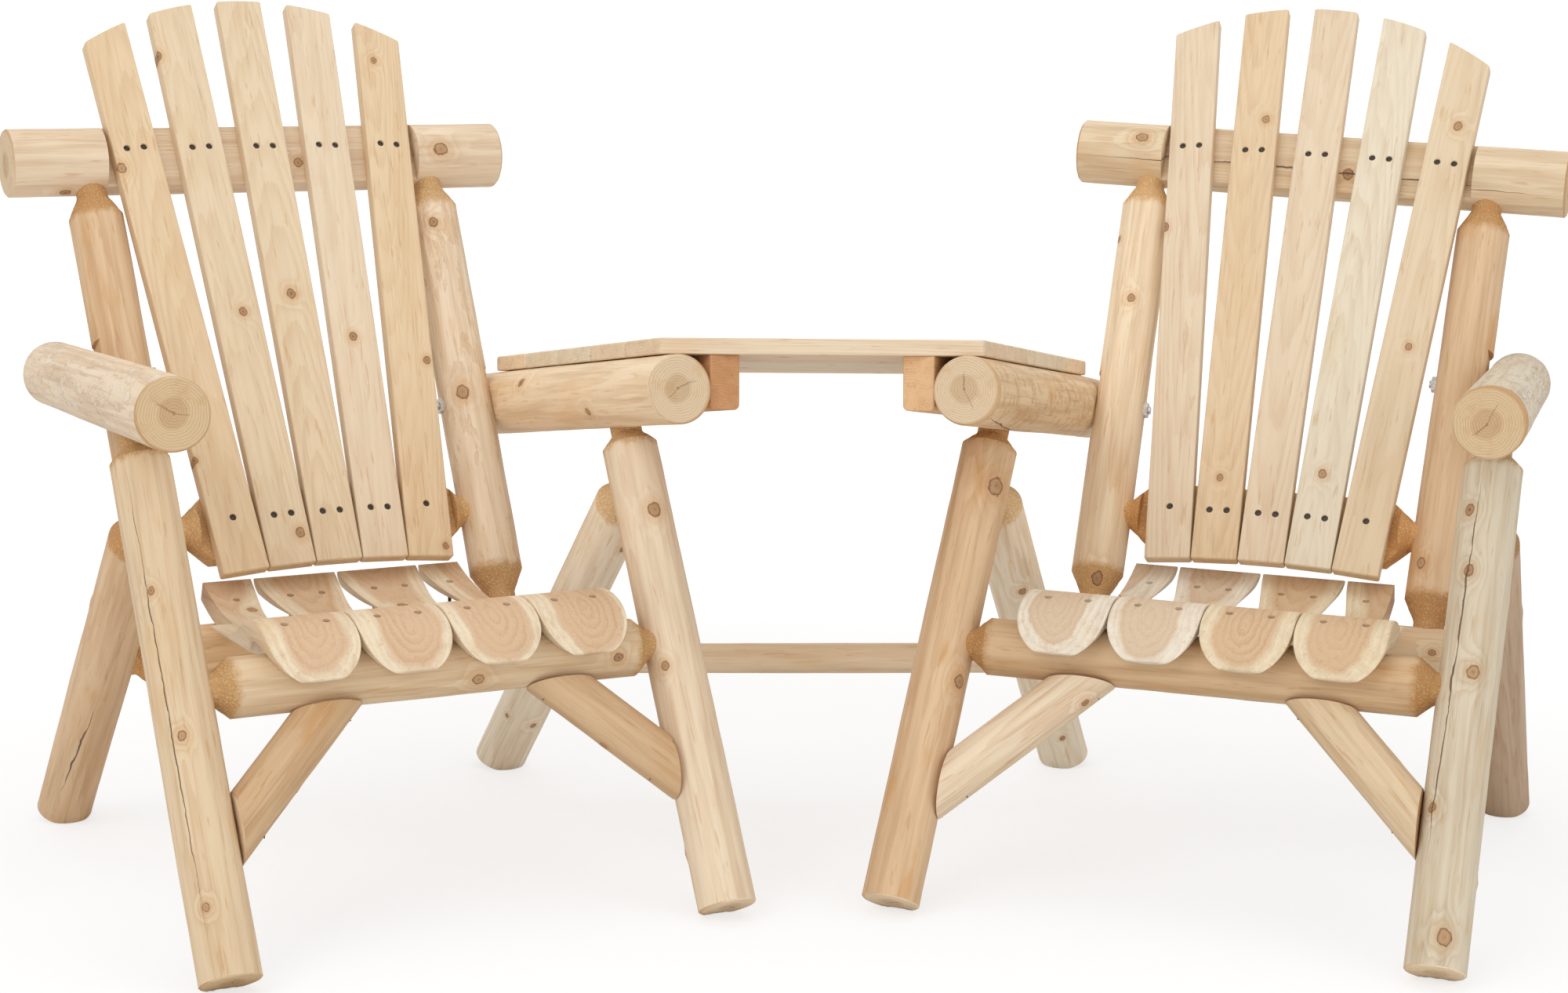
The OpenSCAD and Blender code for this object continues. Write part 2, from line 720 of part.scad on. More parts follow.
// A thick log between the posts, planed along its front for the slats
module lower_back_rail(which) {
    reach = post_u(low_rail_s) - low_shoulder + tenon_past;
    flat_half = low_shoulder + low_rail_taper / 2;
    difference() {
        back_plane() translate([0, 0, low_rail_s]) difference() {
            tenoned_rail(low_rail_d, low_shoulder, low_shoulder, low_rail_taper, reach);
            translate([-flat_half, -low_rail_d - slat_seat, -low_rail_d])
                cube([2 * flat_half, low_rail_d, 2 * low_rail_d]);
        }
        back_screws(which, true);
    }
}

module arm(which, side) {
    flank(side) difference() {
        arm_line(side) log_y(arm_d, arm_y0(side), arm_l(side));
        leg_line(which, side) translate([0, 0, leg_l(side)])
            mortise(leg_top(side) - leg_l(side) + tenon_past);
        translate([arm_u(side) - arm_r + flat_d - arm_d, bolt_v(side), bolt_z(side)])
            rotate([-arm_fall(side), 0, 0])
                translate([0, -flat_l / 2, -arm_r]) cube([arm_d, flat_l, arm_d]);
        bolt_hole(side);
    }
}

// A planed board of the fan, its top sawn to the common arc
module back_slat(which, k) {
    arc_u = -slat_top_r * 2 * rail_rise(which) / post_top_w;
    arc_s = slat_crown - slat_top_r + rail_rise(which);
    difference() {
        back_plane() fan(k)
            translate([-slat_w / 2, -slat_seat - slat_t, fan_drop + slat_foot])
                cube([slat_w, slat_t, slat_crown]);
        back_plane() translate([arc_u, -slat_seat - slat_t / 2, arc_s]) difference() {
            translate([-far / 2, -slat_t, 0]) cube([far, 2 * slat_t, far]);
            rotate([90, 0, 0]) cylinder(h = 4 * slat_t, r = slat_top_r, center = true);
        }
        slat_screws(which, k, true);
    }
}

// Part of a ring between two directions
module ring_part(r, t, from, to) {
    reach = 2 * (r + t);
    middle = (from + to) / 2;
    intersection() {
        difference() {
            circle(r = r + t, $fn = 180);
            circle(r = r, $fn = 180);
        }
        polygon([
            [0, 0],
            reach * [cos(from), sin(from)],
            reach * [cos(middle), sin(middle)],
            reach * [cos(to), sin(to)]
        ]);
    }
}

// Side view of a seat slat: over the front rail, down into the hollow, up to the back edge
module seat_profile() {
    back_angle = asin((seat_back_v - dip_v) / dip_r);
    translate([hump_v, hump_z])
        ring_part(hump_r - seat_slat_t, seat_slat_t, 90 - seat_fall, 180 - nose_angle);
    translate([dip_v, dip_z])
        ring_part(dip_r, seat_slat_t, 270 - seat_fall, 270 + back_angle);
}

// A slat sawn to the seat curve out of a round log, so its sides keep the log's round edge
module seat_slat(which, k) {
    middle = seat_slat_u(which, k);
    back_room = seat_back_v - hump_v + seat_slat_t;
    difference() {
        intersection() {
            translate([middle, 0, 0]) rotate([90, 0, 90])
                linear_extrude(height = seat_log_d + over, center = true) seat_profile();
            translate([middle, hump_v, hump_z + hump_r - seat_log_drop])
                rotate([-90 - seat_log_fall_angle, 0, 0])
                    translate([0, 0, -2 * hump_r]) cylinder(h = 2 * hump_r + back_room, d = seat_log_d);
        }
        for (side = [-1, 1]) flank(side)
            translate([seat_notch_half, seat_notch_v, 0]) cube([seat_log_d, far, far]);
        seat_slat_screws_of(which, k, true);
    }
}

// Table pieces

function table_edge(y) = table_half + y * tan(table_side);

module table_board(k) {
    front = k * board_pitch;
    back = front + board_w;
    difference() {
        table_plane() linear_extrude(height = board_t) polygon([
            [-table_edge(front), front],
            [table_edge(front), front],
            [table_edge(back), back],
            [-table_edge(back), back]
        ]);
        board_screws(k, true);
    }
}

// End view of a support: a sawn plank with rounded lower corners
module plank_profile(w, h, r) {
    translate([-w / 2, -h + r]) square([w, h - r]);
    translate([-w / 2 + r, -h]) square([w - 2 * r, h]);
    for (x = [-1, 1]) translate([x * (w / 2 - r), -h + r]) circle(r = r);
}

module table_support(which) {
    start = (support_in - (support_off - support_w / 2) * sin(table_side)) / cos(table_side);
    end = (table_depth - support_in - (support_off + support_w / 2) * sin(table_side)) / cos(table_side);
    difference() {
        arm_edge(which) translate([-support_off, end, 0]) rotate([90, 0, 0])
            linear_extrude(height = end - start) plank_profile(support_w, support_h, support_r);
        for (k = [0:4]) board_screws(k, true);
        support_screws(which, true);
    }
}

// X runs outward along the stretcher, zero at its shoulder
module stretcher_end(which) {
    mirror([which == LEFT ? 1 : 0, 0, 0])
        translate([stretcher_shoulder, stretcher_y, stretcher_z]) rotate([0, 90, 0]) children();
}

module stretcher() {
    reach = stretcher_half - stretcher_shoulder + tenon_past;
    translate([0, stretcher_y, stretcher_z]) log_x(stretcher_d, 2 * stretcher_shoulder);
    for (which = [LEFT, RIGHT])
        stretcher_end(which) tenon(stretcher_d, stretcher_taper, reach, stretcher_tenon_d);
}

module inner_rear_leg(which) {
    difference() {
        chair(which) rear_leg(INNER);
        stretcher_end(which)
            mortise(stretcher_half - stretcher_shoulder + tenon_past, stretcher_tenon_d);
    }
}

module inner_arm(which) {
    difference() {
        chair(which) arm(which, INNER);
        support_screws(which, true);
    }
}

// The left chair

module left_front_leg_outer() color(cream_log) chair(LEFT) front_leg(LEFT, OUTER);
module left_front_leg_inner() color(cream_log) chair(LEFT) front_leg(LEFT, INNER);
module left_rear_leg_outer() color(cream_log) chair(LEFT) rear_leg(OUTER);
module left_rear_leg_inner() color(pale_log) inner_rear_leg(LEFT);
module left_front_seat_rail() color(cream_log) chair(LEFT) front_seat_rail(LEFT);
module left_rear_seat_rail() color(cream_log) chair(LEFT) rear_seat_rail(LEFT);
module left_brace_outer() color(cream_log) chair(LEFT) brace(LEFT, OUTER);
module left_brace_inner() color(cream_log) chair(LEFT) brace(LEFT, INNER);
module left_back_post_outer() color(cream_log) chair(LEFT) back_post(LEFT, OUTER);
module left_back_post_inner() color(cream_log) chair(LEFT) back_post(LEFT, INNER);
module left_top_rail() color(cream_log) chair(LEFT) top_rail(LEFT);
module left_lower_back_rail() color(tan_log) chair(LEFT) lower_back_rail(LEFT);
module left_arm_outer() color(pale_log) chair(LEFT) arm(LEFT, OUTER);
module left_arm_inner() color(cream_log) inner_arm(LEFT);
module left_back_slat_1() color(planed) chair(LEFT) back_slat(LEFT, -2);
module left_back_slat_2() color(planed) chair(LEFT) back_slat(LEFT, -1);
module left_back_slat_3() color(planed) chair(LEFT) back_slat(LEFT, 0);
module left_back_slat_4() color(planed) chair(LEFT) back_slat(LEFT, 1);
module left_back_slat_5() color(planed) chair(LEFT) back_slat(LEFT, 2);
module left_seat_slat_1() color(sawn) chair(LEFT) seat_slat(LEFT, 0);
module left_seat_slat_2() color(sawn) chair(LEFT) seat_slat(LEFT, 1);
module left_seat_slat_3() color(sawn) chair(LEFT) seat_slat(LEFT, 2);
module left_seat_slat_4() color(sawn) chair(LEFT) seat_slat(LEFT, 3);

// The right chair

module right_front_leg_outer() color(pale_log) chair(RIGHT) front_leg(RIGHT, OUTER);
module right_front_leg_inner() color(tan_log) chair(RIGHT) front_leg(RIGHT, INNER);
module right_rear_leg_outer() color(cream_log) chair(RIGHT) rear_leg(OUTER);
module right_rear_leg_inner() color(pale_log) inner_rear_leg(RIGHT);
module right_front_seat_rail() color(cream_log) chair(RIGHT) front_seat_rail(RIGHT);
module right_rear_seat_rail() color(cream_log) chair(RIGHT) rear_seat_rail(RIGHT);
module right_brace_outer() color(cream_log) chair(RIGHT) brace(RIGHT, OUTER);
module right_brace_inner() color(pale_log) chair(RIGHT) brace(RIGHT, INNER);
module right_back_post_outer() color(cream_log) chair(RIGHT) back_post(RIGHT, OUTER);
module right_back_post_inner() color(cream_log) chair(RIGHT) back_post(RIGHT, INNER);
module right_top_rail() color(cream_log) chair(RIGHT) top_rail(RIGHT);
module right_lower_back_rail() color(tan_log) chair(RIGHT) lower_back_rail(RIGHT);
module right_arm_outer() color(pale_log) chair(RIGHT) arm(RIGHT, OUTER);
module right_arm_inner() color(cream_log) inner_arm(RIGHT);
module right_back_slat_1() color(planed) chair(RIGHT) back_slat(RIGHT, -2);
module right_back_slat_2() color(planed) chair(RIGHT) back_slat(RIGHT, -1);
module right_back_slat_3() color(planed) chair(RIGHT) back_slat(RIGHT, 0);
module right_back_slat_4() color(planed) chair(RIGHT) back_slat(RIGHT, 1);
module right_back_slat_5() color(planed) chair(RIGHT) back_slat(RIGHT, 2);
module right_seat_slat_1() color(sawn) chair(RIGHT) seat_slat(RIGHT, 0);
module right_seat_slat_2() color(sawn) chair(RIGHT) seat_slat(RIGHT, 1);
module right_seat_slat_3() color(sawn) chair(RIGHT) seat_slat(RIGHT, 2);
module right_seat_slat_4() color(sawn) chair(RIGHT) seat_slat(RIGHT, 3);

// The table, the stretcher and the fasteners

module table_board_1() color(planed) table_board(0);
module table_board_2() color(planed) table_board(1);
module table_board_3() color(planed) table_board(2);
module table_board_4() color(planed) table_board(3);
module table_board_5() color(planed) table_board(4);
module table_support_left() color(lumber) table_support(LEFT);
module table_support_right() color(lumber) table_support(RIGHT);
module stretcher_pole() color(cream_log) stretcher();
module back_slat_screws() color(steel)
    for (which = [LEFT, RIGHT]) chair(which) back_screws(which, false);
module seat_slat_screws() color(steel)
    for (which = [LEFT, RIGHT]) chair(which) seat_screws(which, false);
module table_screws() color(steel) for (k = [0:4]) board_screws(k, false);
module frame_screws() color(steel)
    for (which = [LEFT, RIGHT]) {
        support_screws(which, false);
        for (side = [OUTER, INNER]) chair(which) flank(side) brace_screws(which, side, false);
    }
module arm_bolts() color(steel)
    for (which = [LEFT, RIGHT]) for (side = [OUTER, INNER]) chair(which) flank(side) arm_bolt(side);
module arm_nuts() color(steel)
    for (which = [LEFT, RIGHT]) for (side = [OUTER, INNER]) chair(which) flank(side) arm_nut(side);

left_front_leg_outer();
left_front_leg_inner();
left_rear_leg_outer();
left_rear_leg_inner();
left_front_seat_rail();
left_rear_seat_rail();
left_brace_outer();
left_brace_inner();
left_back_post_outer();
left_back_post_inner();
left_top_rail();
left_lower_back_rail();
left_arm_outer();
left_arm_inner();
left_back_slat_1();
left_back_slat_2();
left_back_slat_3();
left_back_slat_4();
left_back_slat_5();
left_seat_slat_1();
left_seat_slat_2();
left_seat_slat_3();
left_seat_slat_4();
right_front_leg_outer();
right_front_leg_inner();
right_rear_leg_outer();
right_rear_leg_inner();
right_front_seat_rail();
right_rear_seat_rail();
right_brace_outer();
right_brace_inner();
right_back_post_outer();
right_back_post_inner();
right_top_rail();
right_lower_back_rail();
right_arm_outer();
right_arm_inner();
right_back_slat_1();
right_back_slat_2();
right_back_slat_3();
right_back_slat_4();
right_back_slat_5();
right_seat_slat_1();
right_seat_slat_2();
right_seat_slat_3();
right_seat_slat_4();
table_board_1();
table_board_2();
table_board_3();
table_board_4();
table_board_5();
table_support_left();
table_support_right();
stretcher_pole();
back_slat_screws();
seat_slat_screws();
table_screws();
frame_screws();
arm_bolts();
arm_nuts();
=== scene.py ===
import math
from functools import reduce
from itertools import count
import bpy
import bmesh
import numpy as np
from mathutils import Matrix, Vector


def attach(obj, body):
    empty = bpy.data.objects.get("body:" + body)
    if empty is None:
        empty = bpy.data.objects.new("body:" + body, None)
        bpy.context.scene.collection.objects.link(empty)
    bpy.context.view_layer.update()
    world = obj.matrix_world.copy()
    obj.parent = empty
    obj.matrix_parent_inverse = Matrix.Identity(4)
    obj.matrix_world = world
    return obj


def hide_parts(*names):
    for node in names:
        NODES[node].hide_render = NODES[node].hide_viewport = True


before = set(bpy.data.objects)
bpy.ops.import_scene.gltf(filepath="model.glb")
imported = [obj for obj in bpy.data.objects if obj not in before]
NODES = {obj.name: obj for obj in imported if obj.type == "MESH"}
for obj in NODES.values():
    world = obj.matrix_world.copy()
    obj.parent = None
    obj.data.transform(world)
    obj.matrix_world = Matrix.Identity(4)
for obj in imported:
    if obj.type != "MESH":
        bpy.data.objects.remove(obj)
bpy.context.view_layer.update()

MM = 0.001
LEFT, RIGHT = -1, 1
OUTER, INNER = 1, -1
CHAIRS = {LEFT: "left", RIGHT: "right"}
SIDES = {OUTER: "outer", INNER: "inner"}

# Sizes as in the part, in millimetres and degrees: the layout, the logs and their round tenons
TURN, CHAIR_X, DEPTH = 24.0, 369.0, 388.0
LEG_R, RAIL_R, POST_R, ARM_R = 34.0, 34.0, 34.0, 41.0
TOP_R, LOW_R, BRACE_R, POLE_R = 43.0, 44.0, 29.0, 20.0
TENON_R, POLE_TENON_R = 19.0, 14.0
LEG_TAPER, REAR_TAPER, RAIL_TAPER, LOW_TAPER, POST_TAPER, POLE_TAPER = 16.0, 20.0, 18.0, 29.0, 29.0, 8.0
# How far a tenon goes past the axis that it enters, and the room between pieces that touch
PAST, GAP = 8.0, 0.2

# The front frame and the rear legs
LEG_U, LEAN, FOOT_Z, LEG_CLEAR = 298.0, 31.8, 14.0, 12.0
RAIL_T, RAIL_SHOULDER = 321.0, 245.0
LEG_TURN = {LEFT: 1.3, RIGHT: -1.8}
BRACE_U, BRACE_ANGLE = 139.0, 45.0
JOINT_T, REAR_SHOULDER, REAR_FOOT_Z, REAR_CUT, RAIL_V = 539.0, 62.0, 12.0, 24.0, 493.0

# The back and the arms
BACK_LEAN, POST_LOW, POST_TOP, POST_NECK = 29.6, 212.0, 225.0, 35.0
TOP_S, TOP_L, LOW_S = 655.0, 650.0, 153.0
RISE = {LEFT: 3.0, RIGHT: 18.0}
SLAT_W, SLAT_T, SLAT_SEAT, SLAT_FOOT = 58.5, 20.0, 14.0, 92.0
SLAT_GAP, SLAT_CLEAR, SLAT_TOP_R, SLAT_CROWN, NOTCH_ROOM = 1.2, 0.6, 400.0, 868.0, 5.0
ARM_FRONT = 136.0
ARM_H = {OUTER: 596.0, INNER: 594.0}
ARM_L = {OUTER: 645.0, INNER: 602.0}
ARM_FALL = {OUTER: 3.3, INNER: 9.2}
ARM_SPLAY = {OUTER: 2.5, INNER: 0.0}
FLAT_D, FLAT_L = 5.0, 92.0

# The seat: a hump over the front rail, then a hollow
HUMP_R, SEAT_T, HUMP_REST, DIP_R, SEAT_FALL, NOSE = 85.0, 25.0, 42.0, 372.0, 28.0, 21.0
SEAT_PITCH, SEAT_LOG_R, LOG_DROP, LOG_FALL = 107.0, 53.0, 10.0, 1.5
SEAT_SHIFT = {LEFT: -4, RIGHT: -2}
SEAT_BACK_V, SEAT_NOTCH_V, SEAT_NOTCH_GAP = 540.0, 415.0, 13.0

# The table and the pole between the chairs
SETBACK, BOARDS, BOARD_W, BOARD_GAP, BOARD_T, BOARD_OVER = 27, 5, 89, 5, 19, 13
SUPPORT_W, SUPPORT_H, SUPPORT_R = 38, 64, 7.0
POLE_Z, POLE_CLEAR = 184.0, 16.0

# Places of the screws: across from a slat's middle, at the seat's edges from the chair's middle, up from a
# rail's axis, and as shares of a board's width and of the table's depth
SLAT_SCREW_U, LOW_SCREW_UP, TOP_SCREW_UP = 11, 4, 3
FRONT_SCREW_U, REAR_SCREW_U, EDGE_SCREW_U = 24, 20, 137
BOARD_SCREWS, SUPPORT_SCREWS = (0.25, 0.75), (0.15, 0.55, 0.9)


def sin(degrees):
    return math.sin(math.radians(degrees))


def cos(degrees):
    return math.cos(math.radians(degrees))


def tan(degrees):
    return math.tan(math.radians(degrees))


RAIL_Z0 = FOOT_Z + RAIL_T * cos(LEAN)
RAIL_V0 = RAIL_T * sin(LEAN)
HUMP_OFF = HUMP_R - SEAT_T - RAIL_R - GAP
HUMP_V = RAIL_V0 + HUMP_OFF * cos(HUMP_REST)
HUMP_Z = RAIL_Z0 - HUMP_OFF * sin(HUMP_REST)
DIP_V = HUMP_V + (HUMP_R + DIP_R) * sin(SEAT_FALL)
DIP_Z = HUMP_Z + (HUMP_R + DIP_R) * cos(SEAT_FALL)
REAR_Z = DIP_Z - math.sqrt((DIP_R + SEAT_T + RAIL_R + GAP) ** 2 - (RAIL_V - DIP_V) ** 2)
JOINT_V, JOINT_Z = JOINT_T * sin(LEAN), FOOT_Z + JOINT_T * cos(LEAN)
REAR_LEAN = math.degrees(math.atan2(RAIL_V - JOINT_V, JOINT_Z - REAR_Z))
REAR_L = (JOINT_Z - REAR_FOOT_Z) / cos(REAR_LEAN)
POST_TILT = math.degrees(math.atan((POST_TOP - POST_LOW) / TOP_S))


# Points and directions: u across a chair, outward positive, v to its back, z up

def chair_point(which, p):
    u, v, z = p
    x = CHAIR_X + u * cos(TURN) + v * sin(TURN)
    y = -u * sin(TURN) + v * cos(TURN) - DEPTH
    return Vector((which * x, y, z)) * MM


def chair_way(which, d):
    u, v, z = d
    return Vector((which * (u * cos(TURN) + v * sin(TURN)), -u * sin(TURN) + v * cos(TURN), z))


def placed(origin, along, toward):
    """A right-handed frame: Z along, Y toward."""
    z = along.normalized()
    y = (toward - toward.dot(z) * z).normalized()
    m = Matrix((y.cross(z), y, z)).transposed().to_4x4()
    m.translation = origin
    return m


def chair_frame(which, p, along, toward):
    return placed(chair_point(which, p), chair_way(which, along), chair_way(which, toward))


def facing(m, way):
    """1 where a frame's X points along a way of the world, otherwise -1."""
    return 1.0 if (m.to_3x3() @ Vector((1, 0, 0))).dot(way) > 0 else -1.0


def front_point(u, t):
    """A point of the front legs' plane: u across, t up along it."""
    return (u, t * sin(LEAN), FOOT_Z + t * cos(LEAN))


def back_point(u, s, out=0.0):
    """A point of the back's plane: u across, s up along it, out toward the front."""
    v = RAIL_V + s * sin(BACK_LEAN) - out * cos(BACK_LEAN)
    return (u, v, REAR_Z + s * cos(BACK_LEAN) + out * sin(BACK_LEAN))


FRONT_WAY = (0, -cos(LEAN), sin(LEAN))
BACK_WAY = (0, -cos(BACK_LEAN), sin(BACK_LEAN))


def rail_s(which, u):
    """Place of the top rail's axis up the back, at u."""
    return TOP_S + RISE[which] * (POST_TOP - u) / (2 * POST_TOP)


def post_u(s):
    return POST_LOW + s * tan(POST_TILT)


def bolt_s(side):
    """Place up the back where the arm's axis crosses the post."""
    drop = (RAIL_V - ARM_FRONT) * tan(ARM_FALL[side])
    return (ARM_H[side] - REAR_Z - drop) / (cos(BACK_LEAN) + sin(BACK_LEAN) * tan(ARM_FALL[side]))


def arm_place(side):
    u, v, z = back_point(0, bolt_s(side))
    return post_u(bolt_s(side)) + POST_R - FLAT_D + ARM_R - FLAT_D + GAP, v, z


def leg_top(side):
    share = cos(LEAN) + sin(LEAN) * tan(ARM_FALL[side])
    return (ARM_H[side] - FOOT_Z + ARM_FRONT * tan(ARM_FALL[side])) / share


def leg_length(side):
    tilt = LEAN - ARM_FALL[side]
    return leg_top(side) - ARM_R / cos(tilt) - LEG_R * tan(tilt) - LEG_CLEAR


def leg_turn(which, side):
    return 0.0 if side == OUTER else LEG_TURN[which]


def linked(name, data):
    o = bpy.data.objects.new(name, data)
    bpy.context.scene.collection.objects.link(o)
    return o


# The camera at the photograph's angle, in radians, metres and pixels of the photograph

YAW, PITCH, ROLL, FOCAL = 0.071, 0.1741, -0.0164, 3514.8
PHOTO_W, PHOTO_H, SENSOR = 2000, 1266, 36.0
EYE = Vector((-0.2677, -3.289, 1.0227))
AHEAD = Vector((math.sin(YAW) * math.cos(PITCH), math.cos(YAW) * math.cos(PITCH), -math.sin(PITCH)))
LEVEL = Vector((math.cos(YAW), -math.sin(YAW), 0))
CAM_X = math.cos(ROLL) * LEVEL + math.sin(ROLL) * AHEAD.cross(LEVEL)
CAM_Y = -math.sin(ROLL) * LEVEL + math.cos(ROLL) * AHEAD.cross(LEVEL)


def camera():
    data = bpy.data.cameras.new("camera")
    data.sensor_width = SENSOR
    data.lens = FOCAL / PHOTO_W * SENSOR
    data.clip_end = 60
    cam = linked("camera", data)
    m = Matrix((CAM_X, -CAM_Y, -AHEAD)).transposed().to_4x4()
    m.translation = EYE
    cam.matrix_world = m
    bpy.context.scene.camera = cam


def lamp(name, place, aim, size, power):
    data = bpy.data.lights.new(name, "AREA")
    data.shape = "RECTANGLE"
    data.size, data.size_y = size
    data.energy = power
    o = linked(name, data)
    o.location = place
    o.rotation_euler = (Vector(aim) - Vector(place)).to_track_quat("-Z", "Y").to_euler()


# Places of knots and checks, found along the rays of the camera

def local_ray(m, px, py):
    """The eye and the way through a pixel, in a piece's own frame."""
    ray = (AHEAD + CAM_X * ((px - PHOTO_W / 2) / FOCAL) + CAM_Y * ((py - PHOTO_H / 2) / FOCAL)).normalized()
    back = m.inverted()
    return back @ EYE, back.to_3x3() @ ray


def on_log(m, r, px, py):
    """Point in millimetres where the ray through a pixel first meets a log about local Z."""
    o, d = local_ray(m, px, py)
    d = d.normalized()
    a = d.x ** 2 + d.y ** 2
    b = o.x * d.x + o.y * d.y
    c = o.x ** 2 + o.y ** 2 - (r * MM) ** 2
    return (o + d * ((-b - math.sqrt(max(b * b - a * c, 0.0))) / a)) * 1000


def on_face(m, level, px, py):
    """Point in millimetres where the ray through a pixel meets the plane Y = level."""
    o, d = local_ray(m, px, py)
    return (o + d * ((level * MM - o.y) / d.y)) * 1000


def knot_on_log(m, r, px, py, size):
    p = on_log(m, r, px, py)
    return ((0.0, 0.0, p.z), tuple(Vector((p.x, p.y, 0)).normalized()), float(size), True)


def check_on_log(m, r, start, end, width):
    low, high = sorted((on_log(m, r, *start), on_log(m, r, *end)), key=lambda p: p.z)
    middle = Vector((low.x + high.x, low.y + high.y, 0)).normalized()
    across = Vector((-middle.y, middle.x, 0))
    slope = (high.dot(across) - low.dot(across)) / max(high.z - low.z, 1.0)
    return (math.atan2(middle.y, middle.x), slope, low.z, high.z, width)


def toward_eye(m):
    """Local direction across a log that faces the camera."""
    eye = m.inverted() @ EYE
    return Vector((eye.x, eye.y, 0)).normalized()


def spare_knots(m, z0, z1, number, seed, sizes=(2.5, 5.5)):
    """Small knots on the sides that the photograph doesn't show."""
    rng = np.random.default_rng(seed)
    eye = toward_eye(m)
    out = []
    while len(out) < number:
        a = rng.uniform(0, 2 * math.pi)
        way = Vector((math.cos(a), math.sin(a), 0))
        if way.dot(eye) <= 0.1:
            z = float(rng.uniform(z0, z1))
            out.append(((0.0, 0.0, z), tuple(way), float(rng.uniform(*sizes)), True))
    return out


# Smooth noise over points, the same in every run

HASH_STEPS = (374761393, 668265263, 1274126177, 974711)
HASH_TURNS = ((13, 1103515245), (16, 2246822519))


def lattice(*place):
    h = sum(v * step for v, step in zip(place, HASH_STEPS)) & 0xFFFFFFFF
    for shift, factor in HASH_TURNS:
        h = ((h ^ (h >> shift)) * factor) & 0xFFFFFFFF
    return ((h >> 8) & 0xFFFF) / 32767.5 - 1.0


def noise(p, size, seed):
    q = p / size + 1000.0
    i = np.floor(q).astype(np.int64)
    f = q - i
    w = f * f * (3 - 2 * f)
    total = 0.0
    for corner in np.ndindex(2, 2, 2):
        weight = 1.0
        for axis, high in enumerate(corner):
            weight = weight * (w[:, axis] if high else 1 - w[:, axis])
        total = total + weight * lattice(*(i + corner).T, seed)
    return total


# Shader nodes

class Value:
    """A number or point that varies over a surface. Arithmetic on it makes shader nodes."""

    def __init__(self, tree, socket):
        self.tree = tree
        self.socket = socket

    def __add__(self, other):
        return self.tree.math("ADD", self, other)

    def __sub__(self, other):
        return self.tree.math("SUBTRACT", self, other)

    def __mul__(self, other):
        return self.tree.math("MULTIPLY", self, other)

    def __truediv__(self, other):
        return self.tree.math("DIVIDE", self, other)

    def dot(self, way):
        return self.tree.math("DOT_PRODUCT", self, way)

    def length(self):
        return self.tree.math("LENGTH", self)

    def step(self, lo, hi, to_lo=0.0, to_hi=1.0):
        """A smooth step from to_lo at lo to to_hi at hi."""
        node = self.tree.node("MapRange", interpolation_type="SMOOTHSTEP")
        names = ("Value", "From Min", "From Max", "To Min", "To Max")
        for name, value in zip(names, (self, lo, hi, to_lo, to_hi)):
            self.tree.put(node.inputs[name], value)
        return Value(self.tree, node.outputs["Result"])


class Tree:
    """The node tree of a material or world."""

    def __init__(self, owner):
        owner.use_nodes = True
        self.tree = owner.node_tree
        self.tree.nodes.clear()

    def node(self, kind, **settings):
        node = self.tree.nodes.new("ShaderNode" + kind)
        for name, value in settings.items():
            setattr(node, name, value)
        return node

    def put(self, socket, value):
        if isinstance(value, Value):
            value = value.socket
        if isinstance(value, bpy.types.NodeSocket):
            self.tree.links.new(value, socket)
        elif socket.type == "RGBA":
            socket.default_value = (*value, 1.0)
        else:
            socket.default_value = value

    def math(self, operation, a, b=None, clamp=False):
        on_points = isinstance(a, Value) and a.socket.type == "VECTOR"
        node = self.node("VectorMath" if on_points else "Math", operation=operation)
        if clamp:
            node.use_clamp = True
        self.put(node.inputs[0], a)
        if b is not None:
            self.put(node.inputs[1], b)
        makes_point = on_points and operation not in ("DOT_PRODUCT", "LENGTH")
        return Value(self, node.outputs["Vector" if makes_point else "Value"])

    def scaled(self, point, factor):
        node = self.node("VectorMath", operation="SCALE")
        self.put(node.inputs[0], point)
        self.put(node.inputs["Scale"], factor)
        return Value(self, node.outputs["Vector"])

    def noise(self, point, scale, detail, rough):
        node = self.node("TexNoise")
        for name, value in (("Vector", point), ("Scale", scale), ("Detail", detail), ("Roughness", rough)):
            self.put(node.inputs[name], value)
        return Value(self, node.outputs["Fac"])

    def mix(self, amount, a, b, mode="MIX"):
        node = self.node("Mix", data_type="RGBA", blend_type=mode, clamp_factor=True)
        for place, value in ((0, amount), (6, a), (7, b)):
            self.put(node.inputs[place], value)
        return Value(self, node.outputs[2])

    def ramp(self, x, stops):
        node = self.node("ValToRGB")
        elements = node.color_ramp.elements
        while len(elements) < len(stops):
            elements.new(0.5)
        for element, (place, colour) in zip(elements, stops):
            element.position = place
            element.color = (*colour, 1.0)
        self.put(node.inputs[0], x)
        return Value(self, node.outputs[0])

    def blend(self, amount, first, second, output):
        """Mixes two shaders into the output node."""
        node = self.node("MixShader")
        for socket, value in zip(node.inputs, (amount, first.outputs[0], second.outputs[0])):
            self.put(socket, value)
        self.put(self.node(output).inputs[0], node.outputs[0])

    def glow(self, kind, colour, strength=None):
        """A background, emission or diffuse shader of one colour."""
        node = self.node(kind)
        node.inputs["Color"].default_value = (*colour, 1.0)
        if strength is not None:
            node.inputs["Strength"].default_value = strength
        return node


WHITE, WHITE_STRENGTH, SOFT_STRENGTH = (1, 1, 1), 1.12, 0.74
FLOOR_COLOUR, FLOOR_HALF, FADE_FROM, FADE_TO, FADE_LEAST = (0.86, 0.86, 0.86), 14.0, 0.9, 2.6, 0.62


